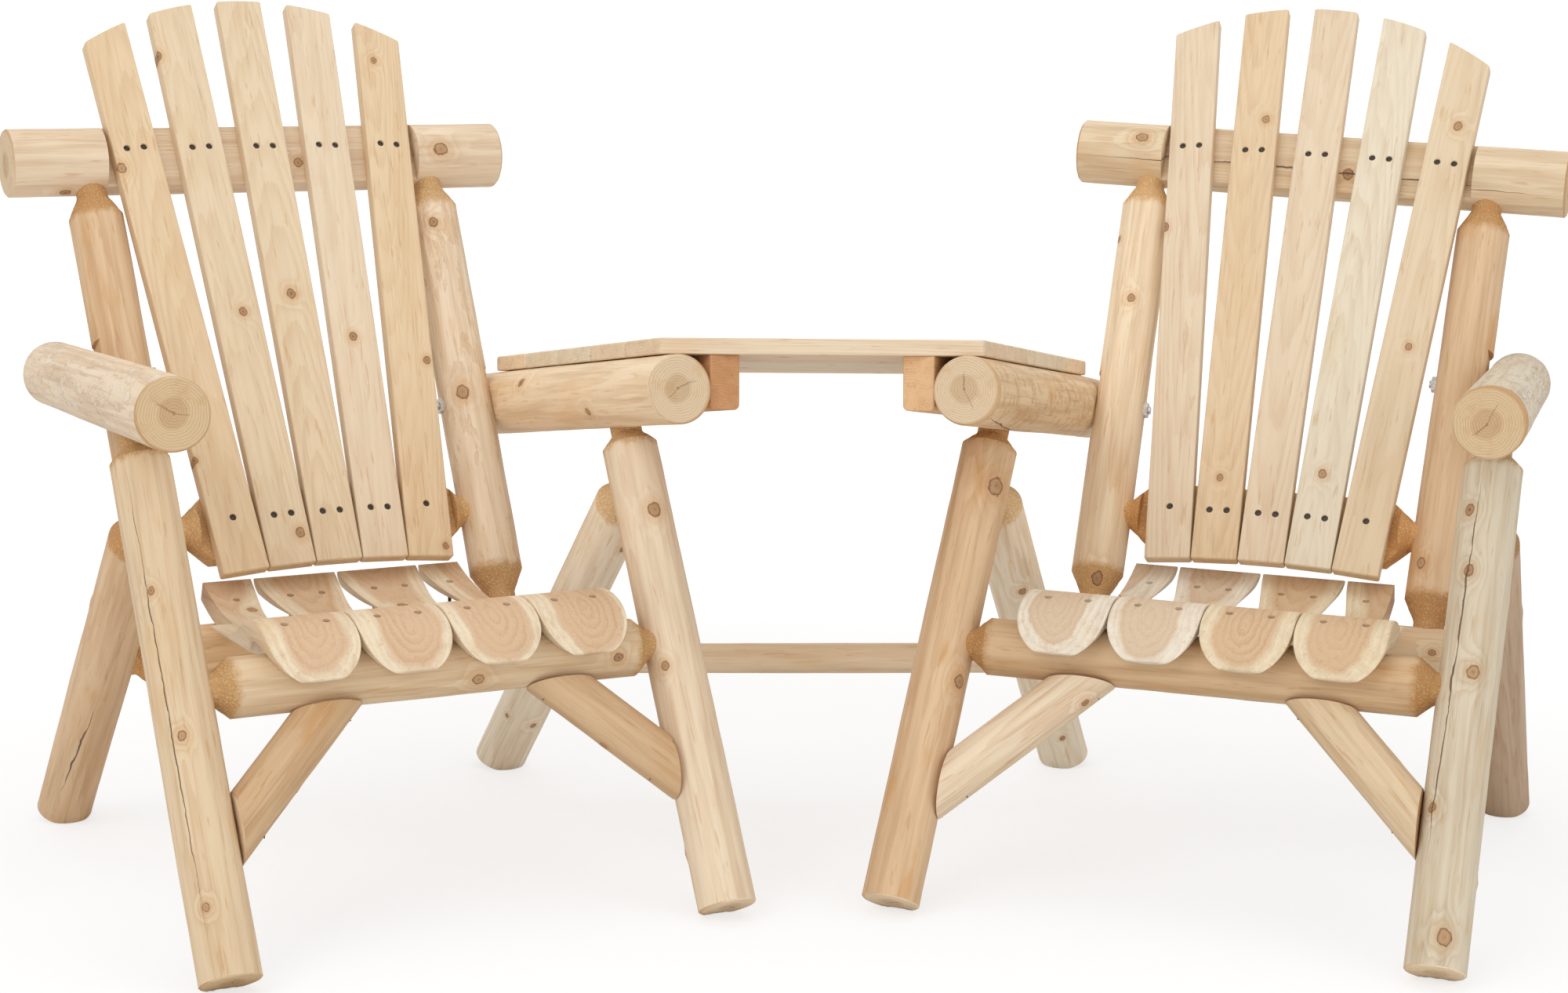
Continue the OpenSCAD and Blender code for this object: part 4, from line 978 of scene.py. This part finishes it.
def front_leg(which, side, node):
    turn, shoulder, tip = leg_turn(which, side), leg_length(side), leg_top(side) + PAST
    foot = front_point(side * (LEG_U - leg_top(side) * sin(turn)), leg_top(side) * (1 - cos(turn)))
    m = chair_frame(which, foot, (side * sin(turn), cos(turn) * sin(LEAN), cos(turn) * cos(LEAN)), FRONT_WAY)
    stops = [(-30, LEG_R), (shoulder, LEG_R), (shoulder + LEG_TAPER, TENON_R), (tip, TENON_R)]
    dress(node, m, LEG_R, 0, shoulder, stops, [square(0, 1), local_plane(m, *FLOOR)], [square(tip, -1)],
          rough=[(shoulder - CHEW_IN, 1, CHEW_REACH)])


def rear_leg(which, side, node):
    foot = (side * LEG_U, JOINT_V + REAR_L * sin(REAR_LEAN), JOINT_Z - REAR_L * cos(REAR_LEAN))
    m = chair_frame(which, foot, (0, -sin(REAR_LEAN), cos(REAR_LEAN)), (0, -cos(REAR_LEAN), -sin(REAR_LEAN)))
    shoulder, tip = REAR_L - REAR_SHOULDER, REAR_L + PAST
    cut = chair_plane(which, m, (foot[0], foot[1], REAR_FOOT_Z), (0, -sin(REAR_CUT), cos(REAR_CUT)))
    stops = [(-60, LEG_R), (shoulder, LEG_R), (shoulder + REAR_TAPER, TENON_R), (tip, TENON_R)]
    dress(node, m, LEG_R, 0, shoulder, stops, [cut, local_plane(m, *FLOOR)], [square(tip, -1)],
          rough=[(shoulder - CHEW_IN, 1, CHEW_REACH)])


def back_post(which, side, node):
    """Planed where the arm is bolted to it."""
    way = (side * sin(POST_TILT), cos(POST_TILT) * sin(BACK_LEAN), cos(POST_TILT) * cos(BACK_LEAN))
    m = chair_frame(which, back_point(side * POST_LOW, 0), way, BACK_WAY)
    foot = RAIL_R + POST_NECK
    head = rail_s(which, side * POST_TOP) - TOP_R - POST_NECK
    tip = head + POST_NECK + TOP_R + PAST
    s = bolt_s(side)
    flat = chair_plane(which, m, back_point(side * (post_u(s) + POST_R - FLAT_D), s), (side, 0, 0))
    dress(node, m, POST_R, foot, head, tenoned(-PAST, foot, head, tip, POST_R, POST_TAPER),
          [square(-PAST, 1)], [square(tip, -1)], flats=[(*flat, s - FLAT_L / 2, s + FLAT_L / 2)],
          rough=[(foot + 4, -1, 16), (head - CHEW_IN, 1, CHEW_REACH)])


def arm(which, side, node):
    u, v, z = arm_place(side)
    fall, splay = ARM_FALL[side], ARM_SPLAY[side]
    way = (-side * sin(splay) * cos(fall), cos(splay) * cos(fall), -sin(fall))
    m = chair_frame(which, (side * u, v, z), way, (0, sin(fall), cos(fall)))
    start = -(v - ARM_FRONT) / cos(fall) / cos(splay)
    end = start + ARM_L[side]
    flat = chair_plane(which, m, (side * (u - ARM_R + FLAT_D), v, z), (-side, 0, 0))
    dress(node, m, ARM_R, start, end, [(start - 1, ARM_R), (end + 1, ARM_R)], [square(start, 1)],
          [square(end, -1)], flats=[(*flat, -FLAT_L / 2, FLAT_L / 2)], ease=2.2)


def brace(which, side, node):
    """From under the front seat rail down to the leg, cut to both."""
    under, turn = RAIL_T - RAIL_R, leg_turn(which, side)
    way = (side * sin(BRACE_ANGLE), -cos(BRACE_ANGLE) * sin(LEAN), -cos(BRACE_ANGLE) * cos(LEAN))
    m = chair_frame(which, front_point(side * BRACE_U, under), way, FRONT_WAY)
    leg_u = LEG_U - (LEG_R + GAP) / cos(turn) - (leg_top(side) - BRACE_ON_LEG) * tan(turn)
    leg_way = (-side * cos(turn), sin(turn) * sin(LEAN), sin(turn) * cos(LEAN))
    rail_cut = chair_plane(which, m, front_point(0, under - GAP), (0, -sin(LEAN), -cos(LEAN)))
    leg_cut = chair_plane(which, m, front_point(side * leg_u, BRACE_ON_LEG), leg_way)
    dress(node, m, BRACE_R, 0, 150, [(-BRACE_R * 2, BRACE_R), (LEG_U, BRACE_R)], [rail_cut], [leg_cut],
          step=3.0, ease=1.0)


def rail(node, m, inner, outer, r, reach, taper, chew_in=CHEW_IN, chew_reach=CHEW_REACH, flats=()):
    """A log across a chair, with its shoulders at -inner and outer and tenons that reach beyond them."""
    start, end = -inner - reach, outer + reach
    chew = [(-inner + chew_in, -1, chew_reach), (outer - chew_in, 1, chew_reach)]
    dress(node, m, r, -inner, outer, tenoned(start, -inner, outer, end, r, taper), [square(start, 1)],
          [square(end, -1)], flats=flats, rough=chew)


def front_seat_rail(which, node):
    outer, inner = (RAIL_SHOULDER - (leg_top(s) - RAIL_T) * tan(leg_turn(which, s)) for s in SIDES)
    m = chair_frame(which, front_point(0, RAIL_T), (1, 0, 0), FRONT_WAY)
    rail(node, m, inner, outer, RAIL_R, LEG_U - RAIL_SHOULDER + PAST, RAIL_TAPER)


def rear_seat_rail(which, node):
    m = chair_frame(which, (0, RAIL_V, REAR_Z), (1, 0, 0), (0, -1, 0))
    rail(node, m, RAIL_SHOULDER, RAIL_SHOULDER, RAIL_R, LEG_U - RAIL_SHOULDER + PAST, RAIL_TAPER)


def top_rail(which, node):
    tilt = math.degrees(math.atan(RISE[which] / (2 * POST_TOP)))
    way = (cos(tilt), -sin(tilt) * sin(BACK_LEAN), -sin(tilt) * cos(BACK_LEAN))
    m = chair_frame(which, back_point(0, rail_s(which, 0)), way, BACK_WAY)
    half = TOP_L / 2
    dress(node, m, TOP_R, -half, half, [(-half - 1, TOP_R), (half + 1, TOP_R)], [square(-half, 1)],
          [square(half, -1)], flats=[((0, SLAT_SEAT, 0), (0, 1, 0), -NOTCH, NOTCH)], ease=2.4)


def lower_back_rail(which, node):
    m = chair_frame(which, back_point(0, LOW_S), (1, 0, 0), BACK_WAY)
    half = post_u(LOW_S) - POST_R - LOW_TAPER - 1
    flat = half + LOW_TAPER / 2
    rail(node, m, half, half, LOW_R, post_u(LOW_S) - half + PAST, LOW_TAPER, 30, 40,
         flats=[((0, SLAT_SEAT, 0), (0, 1, 0), -flat, flat)])


def logs_of_chair(which):
    for side, name in SIDES.items():
        for make in (front_leg, rear_leg, back_post, arm, brace):
            make(which, side, f"{CHAIRS[which]}_{make.__name__}_{name}")
    for make in (front_seat_rail, rear_seat_rail, top_rail, lower_back_rail):
        make(which, f"{CHAIRS[which]}_{make.__name__}")


# The fan of back slats

FAN_HEAD = max(rail_s(which, -POST_TOP) for which in CHAIRS) - TOP_R - POST_NECK
FAN_EDGE = post_u(FAN_HEAD) - math.sqrt(POST_R ** 2 - SLAT_SEAT ** 2) - SLAT_CLEAR
FAN_SLOPE = (FAN_EDGE - SLAT_W / 2 - 2 * (SLAT_W + SLAT_GAP)) / (FAN_HEAD - SLAT_FOOT)
FAN_STEP = math.degrees(math.atan(FAN_SLOPE)) / 2
FAN_DROP = 2 * (SLAT_W + SLAT_GAP) / FAN_SLOPE - SLAT_FOOT
NOTCH = (FAN_DROP + TOP_S + TOP_R) * FAN_SLOPE + SLAT_W / 2 + NOTCH_ROOM
# A slat's own frame has its origin this far up the back
SLAT_MIDDLE = 450
SLAT_WOODS = {
    LEFT: ("wheat", "pale", "butter", "butter", "wheat"),
    RIGHT: ("pale", "wheat", "pale", "ivory", "butter"),
}
# Pixels of the knots on the slats
SLAT_KNOTS = {
    LEFT: [(157, 215), (250, 588), (203, 72), (312, 398), (373, 375), (420, 435), (452, 430), (546, 460),
           (478, 78), (570, 697), (385, 680)],
    RIGHT: [(1616, 153), (1487, 290), (1557, 610), (1688, 605), (1861, 162), (1798, 443)],
}


def back_slat(which, n):
    k = n - 2
    a, middle = k * FAN_STEP, FAN_DROP + SLAT_MIDDLE
    node, seed = f"{CHAIRS[which]}_back_slat_{n + 1}", 60 + n * 3 + (which > 0) * 20
    origin = back_point(middle * sin(a), middle * cos(a) - FAN_DROP, SLAT_SEAT + SLAT_T / 2)
    m = chair_frame(which, origin, (sin(a), cos(a) * sin(BACK_LEAN), cos(a) * cos(BACK_LEAN)), BACK_WAY)
    rng = np.random.default_rng(seed)
    knots = []
    for pixel in SLAT_KNOTS[which]:
        p = on_face(m, SLAT_T / 2, *pixel)
        if abs(p.x) < SLAT_W / 2 and abs(p.z) < 420:
            knots.append(((p.x, 0.0, p.z), (0.15, 1.0, 0.1), draw(rng, 4.0, 6.0), False))
    colour = tone(SLAT_WOODS[which][n])
    pith = (draw(rng, -22, 22), draw(rng, -75, -38))
    tilt = (draw(rng, -0.02, 0.02), float(rng.choice([-1, 1]) * rng.uniform(0.02, 0.05)))
    side = wood(node + "_face", colour, seed, 30, ring=3.0, ring_depth=0.24, pith=pith, tilt=tilt,
                knots=knots, stain=0.2, streak=0.25, grain_bump=0.3, wander=9.0)
    cut = shaded(colour, 0.9, 0.9, 0.9)
    end = end_grain(node + "_end", cut, cut, 0.0, seed, pith=(0, -60), radius=200, cracks=0)
    # The common arc of the tops, in the slat's own frame
    arc_u, arc_s = -SLAT_TOP_R * RISE[which] / POST_TOP, SLAT_CROWN - SLAT_TOP_R + RISE[which] + FAN_DROP
    arc_x = facing(m, chair_way(which, (1, 0, 0))) * (arc_u * cos(a) - arc_s * sin(a))
    arc_z = arc_u * sin(a) + arc_s * cos(a) - middle

    def top(x, y):
        return arc_z + np.sqrt(SLAT_TOP_R ** 2 - (x - arc_x) ** 2)

    foot = cut_height([square(SLAT_FOOT - SLAT_MIDDLE, 1)], np.maximum)
    o = prism(node, m, rounded(SLAT_W, SLAT_T, 2.0), SLAT_CROWN - SLAT_FOOT, foot, top, [side, end])
    low = LOW_S + LOW_SCREW_UP
    high = rail_s(which, k * (FAN_DROP + TOP_S) * tan(FAN_STEP)) + TOP_SCREW_UP
    pair = (-SLAT_SCREW_U, SLAT_SCREW_U)
    spots = [(u, low) for u in ((0,) if abs(k) == 2 else pair)] + [(u, high) for u in pair]
    way = m.to_3x3() @ Vector((0, 1, 0))
    drill(o, [(m @ (Vector((u, SLAT_T / 2, (FAN_DROP + s) / cos(a) - middle)) * MM), way) for u, s in spots])


# The seat slats, sawn out of round logs: brown heartwood with a cream rim of sapwood

SEAT_WOODS = {LEFT: ("rosy",) * 4, RIGHT: ("milky", "milky", "golden", "golden")}
SEAT_LOG_Z = HUMP_Z + HUMP_R - LOG_DROP
SEAT_EDGE, SEAT_EASE, SEAT_CHAMFER, SEAT_THIN = 1.6, 1.4, 0.6, 0.5


def seat_stations():
    """Places along the sawn curve: the centre and radius of its arc, the side of the wood, and the angle."""
    back = math.degrees(math.asin((SEAT_BACK_V - DIP_V) / DIP_R))
    notch = 360 - math.degrees(math.acos((SEAT_NOTCH_V - DIP_V) / DIP_R))
    hump = np.linspace(180 - NOSE, 90 - SEAT_FALL, 42)
    dip = np.linspace(270 - SEAT_FALL, 270 + back, 84)[1:]
    dip = np.sort(np.concatenate([dip, [notch - 0.02, notch + 0.02]]))
    return [(HUMP_V, HUMP_Z, HUMP_R, 1.0, a) for a in hump] + [(DIP_V, DIP_Z, DIP_R, -1.0, a) for a in dip]


def seat_spot(station, d):
    """A point d below the face at a station: its v in the chair, then y and z in the slat's own frame."""
    centre_v, centre_z, r, way, a = station
    v, z = centre_v + (r - way * d) * cos(a), centre_z + (r - way * d) * sin(a)
    dv, dz = v - HUMP_V, z - SEAT_LOG_Z
    return v, dv * sin(LOG_FALL) + dz * cos(LOG_FALL), dv * cos(LOG_FALL) - dz * sin(LOG_FALL)


def log_half(station, d):
    """Half the width of the log, d below the face at a station."""
    return math.sqrt(max(SEAT_LOG_R ** 2 - seat_spot(station, d)[1] ** 2, 0.0))


def shifted(station, along):
    """The same station moved along its arc."""
    *arc, r, way, a = station
    return (*arc, r, way, a - way * math.degrees(along / r))


def seat_ring(station, notch_side, room, inset=0.0, scale=1.0):
    """The outline at one station. From the notch on, x stays within room on the notch's side. Inset and scale
    draw the ring in, for the eased ends."""
    deep = SEAT_T
    while deep > 3 and abs(seat_spot(station, deep)[1]) > SEAT_LOG_R - 0.3:
        deep -= 0.5
    top = log_half(station, 0) - SEAT_EDGE
    low = max(log_half(station, deep) - SEAT_EDGE, 0)
    thin = (SEAT_THIN, deep - SEAT_THIN)
    inner = np.linspace(SEAT_EDGE, deep - SEAT_EDGE, 6)[1:-1]
    depths = [thin[0], SEAT_EDGE, *inner, deep - SEAT_EDGE, thin[1]]
    side = [(max(log_half(station, d) - (SEAT_CHAMFER if d in thin else 0.0), 0), d) for d in depths]
    outline = [(x, 0.0) for x in np.linspace(-top, top, 15)] + side
    outline += [(x, deep) for x in np.linspace(low, -low, 9)] + [(-w, d) for w, d in reversed(side)]
    shrink = 1 - (inset + (1 - scale) * 50) / SEAT_LOG_R
    notched = seat_spot(station, 0)[0] > SEAT_NOTCH_V
    ring = []
    for x, d in outline:
        if notched and x * notch_side > room:
            x = room * notch_side
        depth = deep / 2 + (d - deep / 2) * (1 - inset / (deep / 2)) * scale
        ring.append((x * shrink, *seat_spot(station, depth)[1:]))
    return ring


def seat_slat(which, k):
    """Sweeps the slat along the sawn curve: at each station the log's round sets how wide the wood is."""
    node, seed = f"{CHAIRS[which]}_seat_slat_{k + 1}", 120 + k * 5 + (which > 0) * 30
    u = (k - 1.5) * SEAT_PITCH + SEAT_SHIFT[which]
    along, up = (0, cos(LOG_FALL), -sin(LOG_FALL)), (0, sin(LOG_FALL), cos(LOG_FALL))
    m = chair_frame(which, (u, HUMP_V, SEAT_LOG_Z), along, up)
    rng = np.random.default_rng(seed)
    rim, heart = (tone(f"{SEAT_WOODS[which][k]}_{zone}") for zone in ("rim", "heart"))
    heart_r = 36.0 + draw(rng, -3, 3)
    pith = (draw(rng, -7, 7), draw(rng, -5, 5))
    tilt = (draw(rng, -0.02, 0.02), draw(rng, -0.012, 0.012))
    knot = ((draw(rng, -30, 30), 0.0, draw(rng, 40, 300)), (0.3, 1.0, 0.1), draw(rng, 4, 7), False)
    mat = wood(node + "_face", rim, seed, SEAT_LOG_R, ring=8.0, ring_depth=0.34, pith=pith, tilt=tilt,
               heart=heart, heart_r=heart_r, squash=0.82, knots=[knot], stain=0.35, grain_bump=0.5)
    # The notch for the post, in the first and last slats
    out = facing(m, chair_way(which, (1, 0, 0)))
    notch = ({0: -out, 3: out}.get(k, 0.0), POST_LOW - POST_R - SEAT_NOTCH_GAP - abs(u))
    first, *middle, last = seat_stations()
    rings = [seat_ring(first, *notch, SEAT_EASE, scale) for scale in (0.25, 0.6, 1.0)]
    rings += [seat_ring(s, *notch) for s in (shifted(first, SEAT_EASE), *middle, shifted(last, -SEAT_EASE))]
    rings += [seat_ring(last, *notch, SEAT_EASE, scale) for scale in (1.0, 0.6, 0.25)]
    n, end = len(rings[0]), len(rings) - 1
    faces = [face for r in range(end) for face in band(r * n, (r + 1) * n, n)]
    faces += [tuple(range(n)), tuple(range(end * n, (end + 1) * n))]
    o = piece(node, m, np.array(rings).reshape(-1, 3), faces, [0] * len(faces), [mat], sharp=32)
    front_z = HUMP_Z + math.sqrt(HUMP_R ** 2 - (RAIL_V0 - HUMP_V) ** 2)
    rear_z = DIP_Z - math.sqrt(DIP_R ** 2 - (RAIL_V - DIP_V) ** 2)
    rear = {0: [-EDGE_SCREW_U], 3: [EDGE_SCREW_U]}.get(k, [u - REAR_SCREW_U, u + REAR_SCREW_U])
    holes = [(u - FRONT_SCREW_U, RAIL_V0, front_z), (u + FRONT_SCREW_U, RAIL_V0, front_z)]
    holes += [(place, RAIL_V, rear_z) for place in rear]
    drill(o, [(chair_point(which, hole), (0, 0, 1)) for hole in holes])


# The table on the inner arms, and the pole between the chairs

ARM_U_IN = arm_place(INNER)[0]
TABLE_FALL = math.degrees(math.atan(tan(ARM_FALL[INNER]) / cos(TURN)))
TABLE_SIDE = math.degrees(math.asin(sin(TURN) * cos(ARM_FALL[INNER])))
TABLE_Y = ARM_U_IN * sin(TURN) + ARM_FRONT * cos(TURN) - DEPTH + SETBACK
TABLE_Z = ARM_H[INNER] + (ARM_R + GAP - SETBACK * sin(TABLE_FALL)) / cos(TABLE_FALL)
ARM_END_X = CHAIR_X - ARM_U_IN * cos(TURN) + ARM_FRONT * sin(TURN)
ARM_END_Y = -SETBACK * cos(TABLE_FALL) - (ARM_H[INNER] - TABLE_Z) * sin(TABLE_FALL)
ARM_LINE_X = ARM_END_X - ARM_END_Y * tan(TABLE_SIDE)
TABLE_UP = Vector((0, sin(TABLE_FALL), cos(TABLE_FALL)))
TABLE_BACK = Vector((0, cos(TABLE_FALL), -sin(TABLE_FALL)))
TABLE_DEPTH = BOARDS * (BOARD_W + BOARD_GAP) - BOARD_GAP
SUPPORT_OFF = ARM_R + GAP + SUPPORT_W / 2
SUPPORT_X, SUPPORT_Y = ARM_LINE_X - SUPPORT_OFF * cos(TABLE_SIDE), SUPPORT_OFF * sin(TABLE_SIDE)
BOARD_WOODS = ("pale", "pale", "ivory", "ivory", "cream")
FRONT_BOARD_KNOT = (1000, 435)
SUPPORT_WOODS = {LEFT: "red_lumber", RIGHT: "lumber"}


def table_point(x, y, up):
    """A point of the table: x across, y to its back along the slope, up from the underside of the boards."""
    level, rise = cos(TABLE_FALL), sin(TABLE_FALL)
    return Vector((x, TABLE_Y + y * level + up * rise, TABLE_Z - y * rise + up * level)) * MM


def off_arm(which):
    """The way square off an inner arm toward the middle of the table."""
    return Vector((-which * cos(TABLE_SIDE), 0, 0)) + sin(TABLE_SIDE) * TABLE_BACK


def table_board(k):
    node, seed, y0 = f"table_board_{k + 1}", 190 + k, k * (BOARD_W + BOARD_GAP)
    m = placed(table_point(0, y0 + BOARD_W / 2, BOARD_T / 2), Vector((1, 0, 0)), TABLE_UP)
    rng = np.random.default_rng(seed)
    knot = ((draw(rng, -30, 30), 0.0, draw(rng, -150, 150)), (0.1, 1.0, 0.0), draw(rng, 3, 6), False)
    if k == 0:
        p = on_face(m, BOARD_T / 2, *FRONT_BOARD_KNOT)
        knot = ((p.x, 0.0, p.z), (0.0, 1.0, 0.0), 5.0, False)
    colour = tone(BOARD_WOODS[k])
    pith, tilt = (draw(rng, -30, 30), draw(rng, -80, -45)), (draw(rng, -0.03, 0.03), draw(rng, 0.02, 0.05))
    side = wood(node + "_face", colour, seed, 44, ring_depth=0.36, pith=pith, tilt=tilt, knots=[knot],
                stain=0.25)
    cut = shaded(colour, 0.98, 0.98, 0.98)
    end = end_grain(node + "_end", cut, cut, 0.0, seed, pith=(0, -70), radius=200, cracks=0)
    edge = ARM_LINE_X + BOARD_OVER / cos(TABLE_SIDE)
    left, right = (local_plane(m, table_point(w * edge, 0, 0), off_arm(w)) for w in CHAIRS)
    o = prism(node, m, rounded(BOARD_W, BOARD_T, 2.0), 600, cut_height([left], np.maximum),
              cut_height([right], np.minimum), [side, end])
    holes = []
    for w in CHAIRS:
        for share in BOARD_SCREWS:
            y = y0 + share * BOARD_W
            x = SUPPORT_X + (y - SUPPORT_Y) * tan(TABLE_SIDE)
            holes.append((table_point(w * x, y, BOARD_T), TABLE_UP))
    drill(o, holes)


def table_support(which):
    """Sawn lumber beside an inner arm, under the boards and 2 short of the table's front and back."""
    node, seed = f"table_support_{CHAIRS[which]}", 205 + which
    level = cos(TABLE_SIDE)
    way = Vector((which * sin(TABLE_SIDE), level * cos(TABLE_FALL), -level * sin(TABLE_FALL)))
    m = placed(table_point(which * SUPPORT_X, SUPPORT_Y, -SUPPORT_H / 2), way, TABLE_UP)
    side = wood(node + "_face", tone(SUPPORT_WOODS[which]), seed, 30, ring=3.0, ring_depth=0.4,
                pith=(14.0, -60.0), tilt=(0.02, 0.03), stain=0.4)
    end = end_grain(node + "_end", tone("lumber_cut"), tone("lumber_heart"), 0.0, seed, ring=3.6,
                    pith=(14.0, -46.0), radius=200, cracks=1)
    start = (2 - (SUPPORT_OFF - SUPPORT_W / 2) * sin(TABLE_SIDE)) / cos(TABLE_SIDE)
    stop = (TABLE_DEPTH - 2 - (SUPPORT_OFF + SUPPORT_W / 2) * sin(TABLE_SIDE)) / cos(TABLE_SIDE)
    o = prism(node, m, rounded(SUPPORT_W, SUPPORT_H, 1.2, SUPPORT_R), stop - start,
              cut_height([square(start, 1)], np.maximum), cut_height([square(stop, -1)], np.minimum),
              [side, end], ease=1.0)
    inward = off_arm(which)
    x, y = facing(m, inward) * SUPPORT_W / 2, -ARM_R - GAP + SUPPORT_H / 2
    drill(o, [(m @ (Vector((x, y, share * TABLE_DEPTH)) * MM), inward) for share in SUPPORT_SCREWS])


def stretcher():
    v = RAIL_V + (REAR_Z - POLE_Z) * tan(REAR_LEAN)
    y = LEG_U * sin(TURN) + v * cos(TURN) - DEPTH
    half = CHAIR_X - LEG_U * cos(TURN) + v * sin(TURN)
    shoulder, tip = half - LEG_R - POLE_CLEAR, half + PAST
    m = placed(Vector((0, y, POLE_Z)) * MM, Vector((1, 0, 0)), Vector((0, -1, 0)))
    knots = spare_knots(m, -220, 220, 3, 77, (1.5, 2.5))
    side = wood("stretcher_side", tone("cream"), 211, POLE_R, ring=2.6, ring_depth=0.3, knots=knots,
                stain=0.4, rough=[(-shoulder + 2, -1, 8), (shoulder - 2, 1, 8)])
    end = end_grain("stretcher_end", tone("pole_cut"), tone("pole_heart"), 5, 211, radius=POLE_TENON_R)
    log("stretcher_pole", m, tenoned(-tip, -shoulder, shoulder, tip, POLE_R, POLE_TAPER, POLE_TENON_R),
        [square(-tip, 1)], [square(tip, -1)], [side, end], "log_cream", knots=knots, seed=98, seg=56,
        tenon_r=POLE_TENON_R)


def fasteners():
    """The screws, bolts and nuts keep the part's own meshes and take a metal."""
    dark = metal("dark_zinc", (0.10, 0.085, 0.07), 0.5)
    zinc = metal("grey_zinc", (0.74, 0.73, 0.70), 0.4)
    for node, mat in (("back_slat_screws", dark), ("seat_slat_screws", dark), ("table_screws", dark),
                      ("frame_screws", dark), ("arm_bolts", zinc), ("arm_nuts", zinc)):
        me = NODES[node].data
        me.materials.clear()
        me.materials.append(mat)


camera()
lamp("key", (-2.6, -3.2, 3.4), (0, 0, 0.4), (2.6, 2.0), 46)
lamp("fill", (3.2, -3.4, 2.2), (0, 0, 0.4), (2.6, 2.0), 18)
lamp("top", (0, 0.6, 3.8), (0, 0, 0.3), (3.4, 2.4), 22)
lamp("low", (0.0, -3.6, 0.5), (0, 0.3, 0.35), (3.2, 0.8), 12)
studio()
for chair in CHAIRS:
    logs_of_chair(chair)
    for number in range(5):
        back_slat(chair, number)
    for number in range(4):
        seat_slat(chair, number)
for number in range(BOARDS):
    table_board(number)
for chair in CHAIRS:
    table_support(chair)
stretcher()
fasteners()
floor()
bpy.context.scene.view_settings.view_transform = "Standard"
